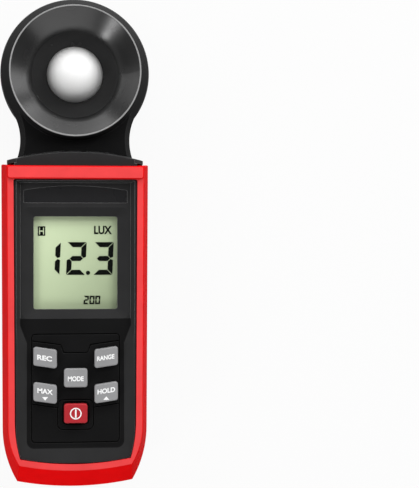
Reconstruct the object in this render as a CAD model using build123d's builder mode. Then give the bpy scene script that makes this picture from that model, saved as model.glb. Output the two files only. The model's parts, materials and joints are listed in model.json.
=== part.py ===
from build123d import *

import math
import os
from collections import namedtuple

os.makedirs("parts", exist_ok=True)

# Lux meter lying on its back, sizes in millimetres
# X is the width, Y runs from the foot to the sensor head, Z from the back to the front

# Case
case_length = 124.6
case_width = 56.7
case_taper = 0.5
parting_z = 13.0
case_round = 1.4
top_round = 0.5
foot_round = 2.2
foot_curve_length = 23.0
foot_corner_inset = 6.1
foot_corner_rise = 2.2

# Red frame
rail_rise = 13.6
rail_lean = 2.45
rail_face = 2.5
top_lean = 1.0
foot_slope = 8.15
foot_face = 2.2
foot_curve_step = 1.75
foot_corner_lean = 1.0
foot_corner_face = 0.35
foot_corner_step = 2.05
frame_edge = 0.45
bar_rise = 1.1
bar_depth = 6.1
bar_round = 1.2
bar_draft = 12.0
bar_edge = 0.35
rail_drop = 0.6
rail_kink_rise = 61.4
frame_wall = 1.8
opening_round = 6.0
opening_top_round = 0.8

# Black panel
panel_gap = 0.2
panel_drop = 0.4
panel_edge = 0.25
recess_depth = 2.0
shell_wall = 1.8
plate = 1.8
strip_width = 1.45
strip_flat = 0.35
keypad_bevel = 4.3
recess_narrow_rise = 56.0
recess_wide_rise = 63.0
foot_bevel = 5.9
recess_round = 2.6
flange_height = 1.5

# Name plate
name_plate_inset = 1.3
name_plate_height = 4.7
name_plate_arch = 1.7
name_plate_drop = 10.3
name_plate_thickness = 0.3

# Display
display_top_drop = 20.2
display_foot_rise = 69.1
window_round = 0.8
bezel_inset = 0.5
bezel_margin = 4.5
bezel_margin_long = 3.55
bezel_round = 3.0
bezel_depth = 1.4
window_lip = 0.6
window_ledge = 1.5
window_thickness = 1.2
glass_gap = 0.2
glass_thickness = 2.0
glass_margin = 0.95
holder_wall = 1.4
strip_depth = 2.2
strip_inset = 1.4

# Keys
key_margin = 2.075
key_spacing = 2.7
key_columns = 3
key_height = 7.1
power_height = 7.3
key_lean = 0.66
key_upper_rise = 50.85
key_mode_rise = 43.1
key_lower_rise = 37.45
key_power_rise = 29.6
key_proud = 2.2
key_round = 1.0
key_edge = 0.45
key_gap = 0.15
key_flange = 0.75
key_flange_thickness = 1.2
key_stem_radius = 1.8
key_travel = 0.7
switch_size = 6.0
switch_height = 3.0
plunger_radius = 1.7
plunger_gap = 0.08
plunger_length = 2.4
groove_width = 0.5
groove_depth = 0.6
groove_inset = 1.2
groove_top_rise = 59.9
groove_bottom_rise = 18.2
groove_round = 1.6
lane_drop = 2.8
lane_slant = 1.5
lane_dip = 3.0
lane_half = 5.6
lane_step = 1.1
lane_lower_rise = 33.2
ring_half_width = 7.0
ring_half_height = 5.9
ring_round = 2.2
ring_drop = 0.6
pocket_margin = 0.9
pocket_depth = 0.6

# Board
board_z = 15.0
board_thickness = 1.6
board_gap = 0.8
board_drop = 10.6
boss_radius = 2.4
board_boss_inset = 3.1
board_boss_drop = 13.4
board_boss_foot_inset = 6.9
board_boss_foot_rise = 20.0
board_screw_radius = 1.0
board_screw_head = 1.9
board_screw_head_height = 1.0
board_screw_length = 7.0
thread_gap = 0.05
chip_size = 10.0
chip_height = 1.2
capacitor_radius = 2.0
capacitor_height = 1.1
resistor_length = 3.2
resistor_width = 1.6
resistor_height = 0.8
resistor_pitch = 5.0
resistor_rows = 3
part_inset = 6.0

# Rear cover
back_inset = 3.6
back_round = 1.6
rear_floor = 2.0
rear_wall = 2.0
seat_gap = 0.1
case_screw_radius = 1.25
case_screw_head = 2.3
case_screw_head_height = 1.8
case_screw_slot = 0.5
case_boss_radius = 3.2
case_screw_inset = 12.35
case_screw_drop = 6.1
case_screw_seat = 3.4
foot_screw_inset = 19.35
foot_screw_rise = 8.2
foot_screw_seat = 4.8
foot_boss_radius = 2.6
foot_boss_height = 4.5

# Battery bay, three AAA cells side by side
cell_count = 3
cell_radius = 5.25
cell_length = 44.5
cell_nub_radius = 1.9
cell_nub_length = 0.8
cell_spacing = 0.5
cell_rest_gap = 0.25
bay_side_gap = 0.3
bay_foot_rise = 16.0
bay_wall = 1.2
bay_roof = 0.9
contact_thickness = 0.4
contact_width = 8.6
contact_tag = 2.0
spring_room = 4.4
spring_radius = 2.4
spring_wire = 0.3
spring_turns = 3.5
door_lift = 0.2
door_thickness = 1.6
door_half = 17.8
door_gap = 0.1
door_tongue = 1.0
door_tongue_thickness = 0.8
door_overlap = 1.6
door_rail_height = 3.4
grip_width = 14.0
grip_bar = 1.0
grip_pitch = 2.2
grip_count = 5
grip_depth = 0.5
grip_foot_rise = 12.0

# Collar and swivel
collar_rise = 5.0
collar_half = 26.1
collar_face_half = 22.4
collar_edge = 0.3
collar_front = 12.5
collar_back = 11.5
collar_side_front = 4.0
collar_side_back = 5.0
cap_radius = 100.0
cap_gap = 0.3
tongue_depth = 9.0
swivel_cavity_half = 10.0
shaft_radius = 4.4
shaft_bore = 2.4
shaft_gap = 0.05
bush_wall = 1.5
bush_flange_radius = 7.0
bush_flange_thickness = 1.4
bush_top_inset = 1.2
washer_thickness = 0.8
clip_thickness = 0.8
clip_radius = 6.6
clip_groove = 0.8
clip_mouth = 5.4
stack_gap = 0.1
lug_radius = 7.0
lug_thickness = 1.4
lug_half_angle = 18.0
stop_half_angle = 26.0
lug_rest_angle = 45.0

# Sensor head
head_overhang = 0.45
head_lift = 1.8
head_front = 10.0
head_back = 11.2
head_band = -1.0
rim_inset = 3.5
rim_width = 0.7
rim_round = 0.25
funnel_run = 7.8
dish_floor = -4.5
annulus_thickness = 1.6
head_wall = 1.8
hollow_tip_inset = 0.9
hollow_tip_rise = 6.3
hollow_foot_wall = 1.8
head_back_round = 4.5
neck_front = 6.0
neck_back = 7.0
neck_top_angle = 31.5
neck_top_inset = 0.34
neck_waist_rise = 4.3
neck_waist_half = 21.1
neck_foot_half = 22.2
neck_foot_sink = 2.4
neck_overrun = 4.0
neck_chamfer = 2.0
neck_chamfer_drop = 5.9
neck_back_round = 4.0
shaft_flange_half = 4.9
shaft_flange_thickness = 2.4
shaft_flange_rise = 4.6
lead_radius = 0.9
lead_channel = 1.6
lead_start_run = 3.0
lead_end_run = 0.5
lead_bend = 2.6
dome_radius = 10.9
dome_gap = 0.1
dome_height = 9.5
dome_wall = 1.5
dome_flange = 1.6
dome_flange_thickness = 1.1
sensor_board_gap = 3.2
sensor_board_thickness = 1.6
photodiode_radius = 4.2
photodiode_height = 1.5
filter_radius = 4.6
filter_thickness = 1.0
head_screw_inset = 4.8
head_screw_radius = 1.0
head_screw_head = 2.0
head_screw_head_height = 1.4
head_screw_seat = 2.4
head_boss_radius = 2.6
head_front_boss_radius = 2.2
head_front_boss_rise = 3.7
head_screw_tip = 2.6
post_inset = 1.8
post_radius = 1.5
socket_width = 8.0
socket_length = 5.5
socket_height = 3.0
socket_lip = 0.5

# Cuts run this far past what they cut
overrun = 6.0

# Places worked out from the sizes
head_radius = case_width / 2 + head_overhang
overall_length = case_length + collar_rise + head_lift + 2 * head_radius
case_bottom_y = -overall_length / 2
case_top_y = case_bottom_y + case_length
head_y = overall_length / 2 - head_radius
swivel_z = parting_z
rail_z = parting_z + rail_rise
panel_z = rail_z - panel_drop
floor_z = panel_z - recess_depth
plate_under_z = floor_z - plate
bar_bottom_y = case_top_y - bar_depth
board_top_z = board_z + board_thickness
board_top_y = case_top_y - board_drop
window_height = case_length - display_top_drop - display_foot_rise
display_y = case_bottom_y + display_foot_rise + window_height / 2
cap_apex_y = case_top_y + collar_rise
cap_centre_y = cap_apex_y - cap_radius

Rim = namedtuple("Rim", "half_top half_low top_y curve_y corner_x corner_y bottom_y round top_round")


def inset(rim, by):
    """The same outline drawn in by a wall or a gap."""
    return Rim(
        rim.half_top - by,
        rim.half_low - by,
        rim.top_y - by,
        rim.curve_y,
        rim.corner_x - by,
        rim.corner_y + by,
        rim.bottom_y + by,
        rim.round,
        rim.top_round,
    )


def outline(rim):
    """Case outline: straight top, sides that taper and then draw in, and a bowed foot."""
    with BuildSketch(Plane.XY) as face:
        with BuildLine():
            Line((0, rim.top_y), (rim.half_top, rim.top_y))
            Line((rim.half_top, rim.top_y), (rim.half_low, rim.curve_y))
            corner = (rim.corner_x, rim.corner_y)
            TangentArc((rim.half_low, rim.curve_y), corner, tangent=(0, -1))
            TangentArc((0, rim.bottom_y), corner, tangent=(1, 0))
            mirror(about=Plane.YZ)
        make_face()
        corners = face.vertices().filter_by(lambda v: abs(v.X) > rim.round)
        fillet(corners.filter_by(lambda v: v.Y > rim.curve_y + rim.round), radius=rim.top_round)
        fillet(corners.filter_by(lambda v: v.Y < rim.curve_y - rim.round), radius=rim.round)
    return face.sketch


def recess_outline(half_wide, half_narrow, half_foot, top_y, bottom_y, corner):
    """Panel recess: wide beside the display, narrower beside the keys."""
    wide_y = case_bottom_y + recess_wide_rise
    narrow_y = case_bottom_y + recess_narrow_rise
    with BuildSketch(Plane.XY) as face:
        with BuildLine():
            Polyline(
                (0, top_y),
                (half_wide, top_y),
                (half_wide, wide_y),
                (half_narrow, narrow_y),
                (half_foot, bottom_y + corner),
            )
            TangentArc(
                (half_foot, bottom_y + corner),
                (half_foot - corner, bottom_y),
                tangent=(0, -1),
            )
            Line((half_foot - corner, bottom_y), (0, bottom_y))
            mirror(about=Plane.YZ)
        make_face()
    return face.sketch


parting_rim = Rim(
    case_width / 2,
    case_width / 2 - case_taper,
    case_top_y,
    case_bottom_y + foot_curve_length,
    case_width / 2 - foot_corner_inset,
    case_bottom_y + foot_corner_rise,
    case_bottom_y,
    foot_round,
    top_round,
)
back_rim = inset(parting_rim, back_inset)._replace(top_y=case_top_y - top_lean, top_round=case_round)
crease_rim = Rim(
    parting_rim.half_top - rail_lean,
    parting_rim.half_low - rail_lean,
    case_top_y - top_lean,
    parting_rim.curve_y + foot_curve_step,
    parting_rim.corner_x - foot_corner_lean,
    parting_rim.corner_y + foot_slope,
    case_bottom_y + foot_slope,
    foot_round,
    top_round,
)
opening_rim = Rim(
    crease_rim.half_top - rail_face,
    crease_rim.half_low - rail_face,
    bar_bottom_y,
    crease_rim.curve_y + foot_curve_step,
    crease_rim.corner_x - foot_corner_face,
    crease_rim.corner_y + foot_corner_step,
    crease_rim.bottom_y + foot_face,
    opening_round,
    opening_top_round,
)
panel_rim = inset(opening_rim, panel_gap)
kink_y = case_bottom_y + rail_kink_rise
tongue_half = panel_rim.half_top
tongue_top_z = swivel_z + collar_front

# Widths of the panel's parts, all from the panel's own rim
rim_half = panel_rim.half_low - strip_flat
floor_half = rim_half - strip_width
window_width = 2 * (floor_half - bezel_inset - bezel_margin)
keypad_half = rim_half - keypad_bevel
foot_drop = rail_drop * (kink_y - panel_rim.bottom_y) / rail_kink_rise
sunk_share = foot_drop / (recess_depth - foot_drop)
groove_half = keypad_half - groove_inset
key_span_half = keypad_half - key_margin
key_width = 2 * (key_span_half - key_spacing) / key_columns
key_column = key_span_half - key_width / 2
case_screw_column = case_width / 2 - case_screw_inset
foot_screw_column = case_width / 2 - foot_screw_inset


def upper_edges(piece):
    """Edges round the top of a piece, which bends down at the kink."""
    tops = piece.faces().filter_by(lambda face: face.center().Z > panel_z - rail_drop)
    return tops.edges().filter_by(lambda edge: abs(edge.center().Y - kink_y) > seat_gap)


# Case corners and the collar, whole, for both shells to be cut from
with BuildPart() as rear_block:
    with BuildSketch(Plane.XY):
        add(outline(back_rim))
    with BuildSketch(Plane.XY.offset(parting_z)):
        add(outline(parting_rim))
    loft(ruled=True)
    back_face = rear_block.faces().sort_by(Axis.Z)[0]
    fillet(back_face.edges(), radius=back_round)

with BuildPart() as collar_block:
    with BuildSketch(Plane.XZ.offset(-(case_top_y - rear_wall))):
        Polygon(
            (collar_half, swivel_z - collar_side_back),
            (collar_half, swivel_z + collar_side_front),
            (collar_face_half, swivel_z + collar_front),
            (-collar_face_half, swivel_z + collar_front),
            (-collar_half, swivel_z + collar_side_front),
            (-collar_half, swivel_z - collar_side_back),
            (-collar_face_half, swivel_z - collar_back),
            (collar_face_half, swivel_z - collar_back),
            align=None,
        )
    extrude(amount=-(rear_wall + collar_rise))
    with Locations((0, cap_centre_y, swivel_z)):
        Sphere(cap_radius, mode=Mode.INTERSECT)
    fillet(collar_block.faces().filter_by(GeomType.SPHERE).edges(), radius=collar_edge)

# Bush bore through both halves of the collar
bush_radius = shaft_radius + shaft_gap + bush_wall
bush_seat_y = case_top_y - rear_wall
bush_top_y = cap_apex_y - bush_top_inset
with BuildPart() as bush_bore:
    with BuildSketch(Plane.XZ.offset(-(bush_seat_y - overrun))):
        with Locations((0, swivel_z)):
            Circle(bush_radius)
    extrude(amount=-(bush_top_y - bush_seat_y + overrun))
    with BuildSketch(Plane.XZ.offset(-bush_seat_y)):
        with Locations((0, swivel_z)):
            Circle(shaft_radius + cap_gap)
    extrude(amount=-(cap_apex_y - bush_seat_y + overrun))

# Rear cover with its battery bay
cell_pitch = 2 * cell_radius + cell_spacing
cell_z = door_lift + door_thickness + cell_rest_gap + cell_radius
bay_half = cell_count * cell_pitch / 2 + bay_side_gap
bay_bottom_y = case_bottom_y + bay_foot_rise
bay_top_y = bay_bottom_y + cell_length + spring_room + 2 * contact_thickness
bay_y = (bay_bottom_y + bay_top_y) / 2
bay_length = bay_top_y - bay_bottom_y
bay_roof_z = cell_z + cell_radius + cell_rest_gap
door_top_z = door_lift + door_thickness
door_slot_z = door_top_z + door_gap
door_head_y = bay_top_y + door_overlap
recess_head_y = door_head_y + door_gap
recess_length = recess_head_y - case_bottom_y + overrun
recess_y = recess_head_y - recess_length / 2
case_screw_y = case_top_y - case_screw_drop
foot_screw_y = case_bottom_y + foot_screw_rise
top_screws_at = [(-case_screw_column, case_screw_y), (case_screw_column, case_screw_y)]
foot_screws_at = [(-foot_screw_column, foot_screw_y), (foot_screw_column, foot_screw_y)]
contact_places = [(-1, 1), (0, -1), (1, 1)]
tag_places = [(cell_pitch, bay_top_y), (-cell_pitch, bay_bottom_y)]
rail_block_half = door_half + door_gap + door_tongue + door_gap + bay_wall

with BuildPart() as rear_cavity:
    cavity_foot = inset(back_rim, rear_wall)
    with BuildSketch(Plane.XY.offset(rear_floor)):
        add(outline(cavity_foot._replace(top_y=bush_seat_y)))
    with BuildSketch(Plane.XY.offset(parting_z)):
        add(outline(inset(parting_rim, rear_wall)._replace(top_y=bush_seat_y)))
    loft(ruled=True)

with BuildPart() as bay_block:
    with BuildSketch(Plane.XY):
        with Locations((0, (recess_head_y + bay_wall + case_bottom_y) / 2)):
            Rectangle(2 * rail_block_half, recess_head_y + bay_wall - case_bottom_y)
    extrude(amount=door_rail_height)
    with BuildSketch(Plane.XY):
        with Locations((0, bay_y)):
            Rectangle(2 * (bay_half + bay_wall), bay_length + 2 * bay_wall)
    extrude(amount=bay_roof_z)
    add(rear_block.part, mode=Mode.INTERSECT)
    with BuildSketch(Plane.XY.offset(bay_roof_z - bay_wall)):
        with Locations((0, bay_y)):
            Rectangle(2 * (bay_half + bay_wall), bay_length + 2 * bay_wall)
    extrude(amount=bay_wall + bay_roof)

with BuildPart() as rear_cover:
    add(rear_block.part)
    with BuildPart(mode=Mode.PRIVATE) as collar_rear:
        add(collar_block.part)
        split(bisect_by=Plane.XY.offset(parting_z), keep=Keep.BOTTOM)
    add(collar_rear.part)
    add(rear_cavity.part, mode=Mode.SUBTRACT)
    add(bay_block.part)
    with BuildSketch(Plane.XY.offset(rear_floor - case_round)):
        with Locations(*top_screws_at):
            Circle(case_boss_radius)
    extrude(amount=parting_z - rear_floor + case_round)
    with BuildSketch(Plane.XY.offset(door_slot_z)):
        with Locations(*foot_screws_at):
            Circle(case_boss_radius)
    extrude(amount=parting_z - door_slot_z)
    # The stop post below the shaft, with radial faces
    stop_tan = math.tan(math.radians(stop_half_angle))
    post_tip = shaft_radius + cap_gap
    with BuildSketch(Plane.XZ.offset(-(case_top_y - rear_wall - tongue_depth))):
        Polygon(
            (-stop_tan * post_tip, swivel_z - post_tip),
            (stop_tan * post_tip, swivel_z - post_tip),
            (stop_tan * lug_radius, swivel_z - lug_radius),
            (stop_tan * lug_radius, rear_floor - case_round),
            (-stop_tan * lug_radius, rear_floor - case_round),
            (-stop_tan * lug_radius, swivel_z - lug_radius),
            align=None,
        )
    extrude(amount=-(tongue_depth - bush_flange_thickness - washer_thickness - clip_thickness
                     - 3 * stack_gap))
    # The battery bay, the door's recess and its side grooves
    with BuildSketch(Plane.XY.offset(-overrun)):
        with Locations((0, bay_y)):
            Rectangle(2 * bay_half, bay_length)
    extrude(amount=overrun + bay_roof_z, mode=Mode.SUBTRACT)
    with BuildSketch(Plane.XY.offset(-overrun)):
        with Locations((0, recess_y)):
            Rectangle(2 * (door_half + door_gap), recess_length)
    extrude(amount=overrun + door_slot_z, mode=Mode.SUBTRACT)
    with BuildSketch(Plane.XY.offset(door_slot_z - door_tongue_thickness - 2 * door_gap)):
        with Locations((0, recess_y)):
            Rectangle(2 * (door_half + door_tongue + door_gap), recess_length)
    extrude(amount=door_tongue_thickness + 2 * door_gap, mode=Mode.SUBTRACT)
    # Slots in the bay's roof for the two contact tags
    with BuildSketch(Plane.XY.offset(bay_roof_z - bay_wall)):
        for tag_x, wall_y in tag_places:
            inward = math.copysign(contact_thickness / 2, bay_y - wall_y)
            with Locations((tag_x, wall_y + inward)):
                Rectangle(contact_tag + 2 * seat_gap, contact_thickness)
    extrude(amount=bay_wall + bay_roof + overrun, mode=Mode.SUBTRACT)
    # Screw bores and counterbores
    with BuildSketch(Plane.XY.offset(-overrun)):
        with Locations(*top_screws_at, *foot_screws_at):
            Circle(case_screw_radius + seat_gap)
    extrude(amount=parting_z + 2 * overrun, mode=Mode.SUBTRACT)
    with BuildSketch(Plane.XY.offset(-overrun)):
        with Locations(*top_screws_at):
            Circle(case_screw_head + seat_gap)
    extrude(amount=overrun + case_screw_seat, mode=Mode.SUBTRACT)
    with BuildSketch(Plane.XY.offset(-overrun)):
        with Locations(*foot_screws_at):
            Circle(case_screw_head + seat_gap)
    extrude(amount=overrun + foot_screw_seat, mode=Mode.SUBTRACT)
    add(bush_bore.part, mode=Mode.SUBTRACT)
rear_cover.part.label = "rear_cover"
export_step(rear_cover.part, "parts/rear_cover.step")

# Battery door with its side tongues and grip bars
with BuildPart() as battery_door:
    with BuildSketch(Plane.XY.offset(door_lift)):
        with Locations((0, recess_y - door_gap)):
            Rectangle(2 * door_half, recess_length)
    extrude(amount=door_thickness)
    with BuildSketch(Plane.XY.offset(door_top_z - door_tongue_thickness)):
        with Locations((0, recess_y - door_gap)):
            Rectangle(2 * (door_half + door_tongue), recess_length)
    extrude(amount=door_tongue_thickness)
    add(rear_block.part, mode=Mode.INTERSECT)
    with BuildSketch(Plane.XY.offset(door_lift)):
        with Locations((0, case_bottom_y + grip_foot_rise + grip_pitch * grip_count / 2)):
            with GridLocations(grip_width, grip_pitch, 1, grip_count):
                SlotOverall(grip_width, grip_bar)
    extrude(amount=grip_depth, mode=Mode.SUBTRACT)
battery_door.part.label = "battery_door"
export_step(battery_door.part, "parts/battery_door.step")

# Cells and their contacts: the outer two point up, the middle one points down
cell_names = ["left", "centre", "right"]
for cell_name, (column, way) in zip(cell_names, contact_places):
    cell_x = column * cell_pitch
    spring_wall = bay_bottom_y if way > 0 else bay_top_y
    tail_y = spring_wall + way * (contact_thickness + spring_room)
    with BuildPart() as battery_cell:
        with BuildSketch(Plane.XZ.offset(-tail_y)):
            with Locations((cell_x, cell_z)):
                Circle(cell_radius)
        extrude(amount=-way * (cell_length - cell_nub_length))
        with BuildSketch(Plane.XZ.offset(-(tail_y + way * (cell_length - cell_nub_length)))):
            with Locations((cell_x, cell_z)):
                Circle(cell_nub_radius)
        extrude(amount=-way * cell_nub_length)
    battery_cell.part.label = f"battery_cell_{cell_name}"
    export_step(battery_cell.part, f"parts/battery_cell_{cell_name}.step")

# Contact plates: two single ones with tags to the board, two that bridge two cells
contact_height = 2 * cell_radius - cell_spacing
bridges = [(-cell_pitch / 2, bay_top_y), (cell_pitch / 2, bay_bottom_y)]
with BuildPart() as battery_plates:
    with BuildSketch(Plane.XY.offset(cell_z - contact_height / 2)):
        for plate_x, wall_y in bridges:
            inward = math.copysign(contact_thickness / 2, bay_y - wall_y)
            with Locations((plate_x, wall_y + inward)):
                Rectangle(contact_width + cell_pitch, contact_thickness)
        for plate_x, wall_y in tag_places:
            inward = math.copysign(contact_thickness / 2, bay_y - wall_y)
            with Locations((plate_x, wall_y + inward)):
                Rectangle(contact_width, contact_thickness)
    extrude(amount=contact_height)
    with BuildSketch(Plane.XY.offset(cell_z)):
        for plate_x, wall_y in tag_places:
            inward = math.copysign(contact_thickness / 2, bay_y - wall_y)
            with Locations((plate_x, wall_y + inward)):
                Rectangle(contact_tag, contact_thickness)
    extrude(amount=board_z - cell_z)
battery_plates.part.label = "battery_plates"
export_step(battery_plates.part, "parts/battery_plates.step")

with BuildPart() as battery_springs:
    for column, way in contact_places:
        spring_wall = bay_bottom_y if way > 0 else bay_top_y
        coil_start_y = spring_wall + way * (contact_thickness + spring_wire)
        coil_length = spring_room - 2 * spring_wire
        with BuildLine():
            coil = Helix(
                pitch=coil_length / spring_turns,
                height=coil_length,
                radius=spring_radius,
                center=(column * cell_pitch, coil_start_y, cell_z),
                direction=(0, way, 0),
            )
        with BuildSketch(Plane(coil @ 0, z_dir=coil % 0)):
            Circle(spring_wire)
        sweep(path=coil, is_frenet=True)
battery_springs.part.label = "battery_springs"
export_step(battery_springs.part, "parts/battery_springs.step")

# Keys: place, height and how far the inner side hangs lower than the outer one
upper_y = case_bottom_y + key_upper_rise
lower_y = case_bottom_y + key_lower_rise
keys = {
    "rec": (-key_column, upper_y, key_height, -key_lean),
    "range": (key_column, upper_y, key_height, key_lean),
    "mode": (0, case_bottom_y + key_mode_rise, key_height, 0),
    "max": (-key_column, lower_y, key_height, -key_lean),
    "hold": (key_column, lower_y, key_height, key_lean),
    "power": (0, case_bottom_y + key_power_rise, power_height, 0),
}


def key_outline(x, y, height, lean, grow):
    """One key's rounded parallelogram, grown by a gap or a flange."""
    half_x = key_width / 2 + grow
    half_y = height / 2 + grow
    with BuildSketch(Plane.XY) as face:
        Polygon(
            (x - half_x, y - half_y - lean),
            (x + half_x, y - half_y + lean),
            (x + half_x, y + half_y + lean),
            (x - half_x, y + half_y - lean),
            align=None,
        )
        fillet(face.vertices(), radius=key_round + grow)
    return face.sketch


def groove_ring(half_x, half_y, corner):
    """A rounded rectangle as a fine groove."""
    with BuildSketch(Plane.XY) as face:
        RectangleRounded(2 * half_x, 2 * half_y, corner)
        RectangleRounded(
            2 * (half_x - groove_width),
            2 * (half_y - groove_width),
            corner - groove_width,
            mode=Mode.SUBTRACT,
        )
    return face.sketch


flange_top_z = plate_under_z - stack_gap
flange_z = flange_top_z - key_flange_thickness
plunger_top_z = board_top_z + switch_height + key_travel + stack_gap
for key_name, (key_x, key_y, key_size, lean) in keys.items():
    with BuildPart() as key:
        with BuildSketch(Plane.XY.offset(flange_z)):
            add(key_outline(key_x, key_y, key_size, lean, 0))
        extrude(amount=floor_z + key_proud - flange_z)
        fillet(key.faces().sort_by(Axis.Z)[-1].edges(), radius=key_edge)
        with BuildSketch(Plane.XY.offset(flange_z)):
            add(key_outline(key_x, key_y, key_size, lean, key_flange))
        extrude(amount=key_flange_thickness)
        with BuildSketch(Plane.XY.offset(plunger_top_z)):
            with Locations((key_x, key_y)):
                Circle(key_stem_radius)
        extrude(amount=flange_z - plunger_top_z)
    key.part.label = f"key_{key_name}"
    export_step(key.part, f"parts/key_{key_name}.step")

    with BuildPart() as plunger:
        with BuildSketch(Plane.XY.offset(plunger_top_z - plunger_length)):
            with Locations((key_x, key_y)):
                Circle(plunger_radius)
        extrude(amount=plunger_length)
    plunger.part.label = f"plunger_{key_name}"
    export_step(plunger.part, f"parts/plunger_{key_name}.step")

key_centres = [(key_x, key_y) for key_x, key_y, key_size, lean in keys.values()]
with BuildPart() as switch_housings:
    with BuildSketch(Plane.XY.offset(board_top_z)):
        with Locations(*key_centres):
            Rectangle(switch_size, switch_size)
    extrude(amount=switch_height)
    plunger_well_z = plunger_top_z - plunger_length - key_travel - stack_gap
    with BuildSketch(Plane.XY.offset(plunger_well_z)):
        with Locations(*key_centres):
            Circle(plunger_radius + plunger_gap)
    extrude(amount=switch_height, mode=Mode.SUBTRACT)
switch_housings.part.label = "switch_housings"
export_step(switch_housings.part, "parts/switch_housings.step")

# Display stack, from the window down to the board
window_top_z = floor_z - bezel_depth - window_lip
window_z = window_top_z - window_thickness
glass_top_z = window_z - glass_gap
glass_z = glass_top_z - glass_thickness
glass_width = window_width + 2 * glass_margin
glass_height = window_height + 2 * glass_margin
with BuildPart() as lcd_window:
    with BuildSketch(Plane.XY.offset(window_z)):
        with Locations((0, display_y)):
            Rectangle(window_width + 2 * window_ledge, window_height + 2 * window_ledge)
    extrude(amount=window_thickness)
lcd_window.part.label = "lcd_window"
export_step(lcd_window.part, "parts/lcd_window.step")

with BuildPart() as lcd_glass:
    with BuildSketch(Plane.XY.offset(glass_z)):
        with Locations((0, display_y)):
            Rectangle(glass_width, glass_height)
    extrude(amount=glass_thickness)
lcd_glass.part.label = "lcd_glass"
export_step(lcd_glass.part, "parts/lcd_glass.step")

with BuildPart() as lcd_holder:
    with BuildSketch(Plane.XY.offset(board_top_z)):
        with Locations((0, display_y)):
            inner_width = glass_width + 2 * seat_gap
            inner_height = glass_height + 2 * seat_gap
            Rectangle(inner_width + 2 * holder_wall, inner_height + 2 * holder_wall)
            Rectangle(inner_width, inner_height, mode=Mode.SUBTRACT)
    extrude(amount=glass_top_z - board_top_z)
lcd_holder.part.label = "lcd_holder"
export_step(lcd_holder.part, "parts/lcd_holder.step")

with BuildPart() as lcd_strips:
    with BuildSketch(Plane.XY.offset(board_top_z)):
        with Locations((0, display_y)):
            with GridLocations(1, glass_height - strip_depth - 2 * seat_gap, 1, 2):
                Rectangle(glass_width - 2 * strip_inset, strip_depth)
    extrude(amount=glass_z - board_top_z)
lcd_strips.part.label = "lcd_strips"
export_step(lcd_strips.part, "parts/lcd_strips.step")

# Front shell: panel, walls, the tongue under the bar and the front half of the collar
shell_inner = inset(panel_rim, shell_wall)
board_boss_column = shell_inner.half_low - board_boss_inset
board_boss_foot_column = shell_inner.half_low - board_boss_foot_inset
board_boss_y = case_top_y - board_boss_drop
board_boss_foot_y = case_bottom_y + board_boss_foot_rise
board_bosses_at = [
    (-board_boss_column, board_boss_y),
    (board_boss_column, board_boss_y),
    (-board_boss_foot_column, board_boss_foot_y),
    (board_boss_foot_column, board_boss_foot_y),
]
flange_share = flange_height / rail_rise
flange_foot_inset = frame_wall + seat_gap + foot_slope * flange_share
flange_rim = inset(parting_rim, frame_wall + seat_gap + rail_lean * flange_share)._replace(
    corner_y=parting_rim.corner_y + flange_foot_inset,
    bottom_y=case_bottom_y + flange_foot_inset,
)
swivel_cavity_z = tongue_top_z - shell_wall

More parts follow.
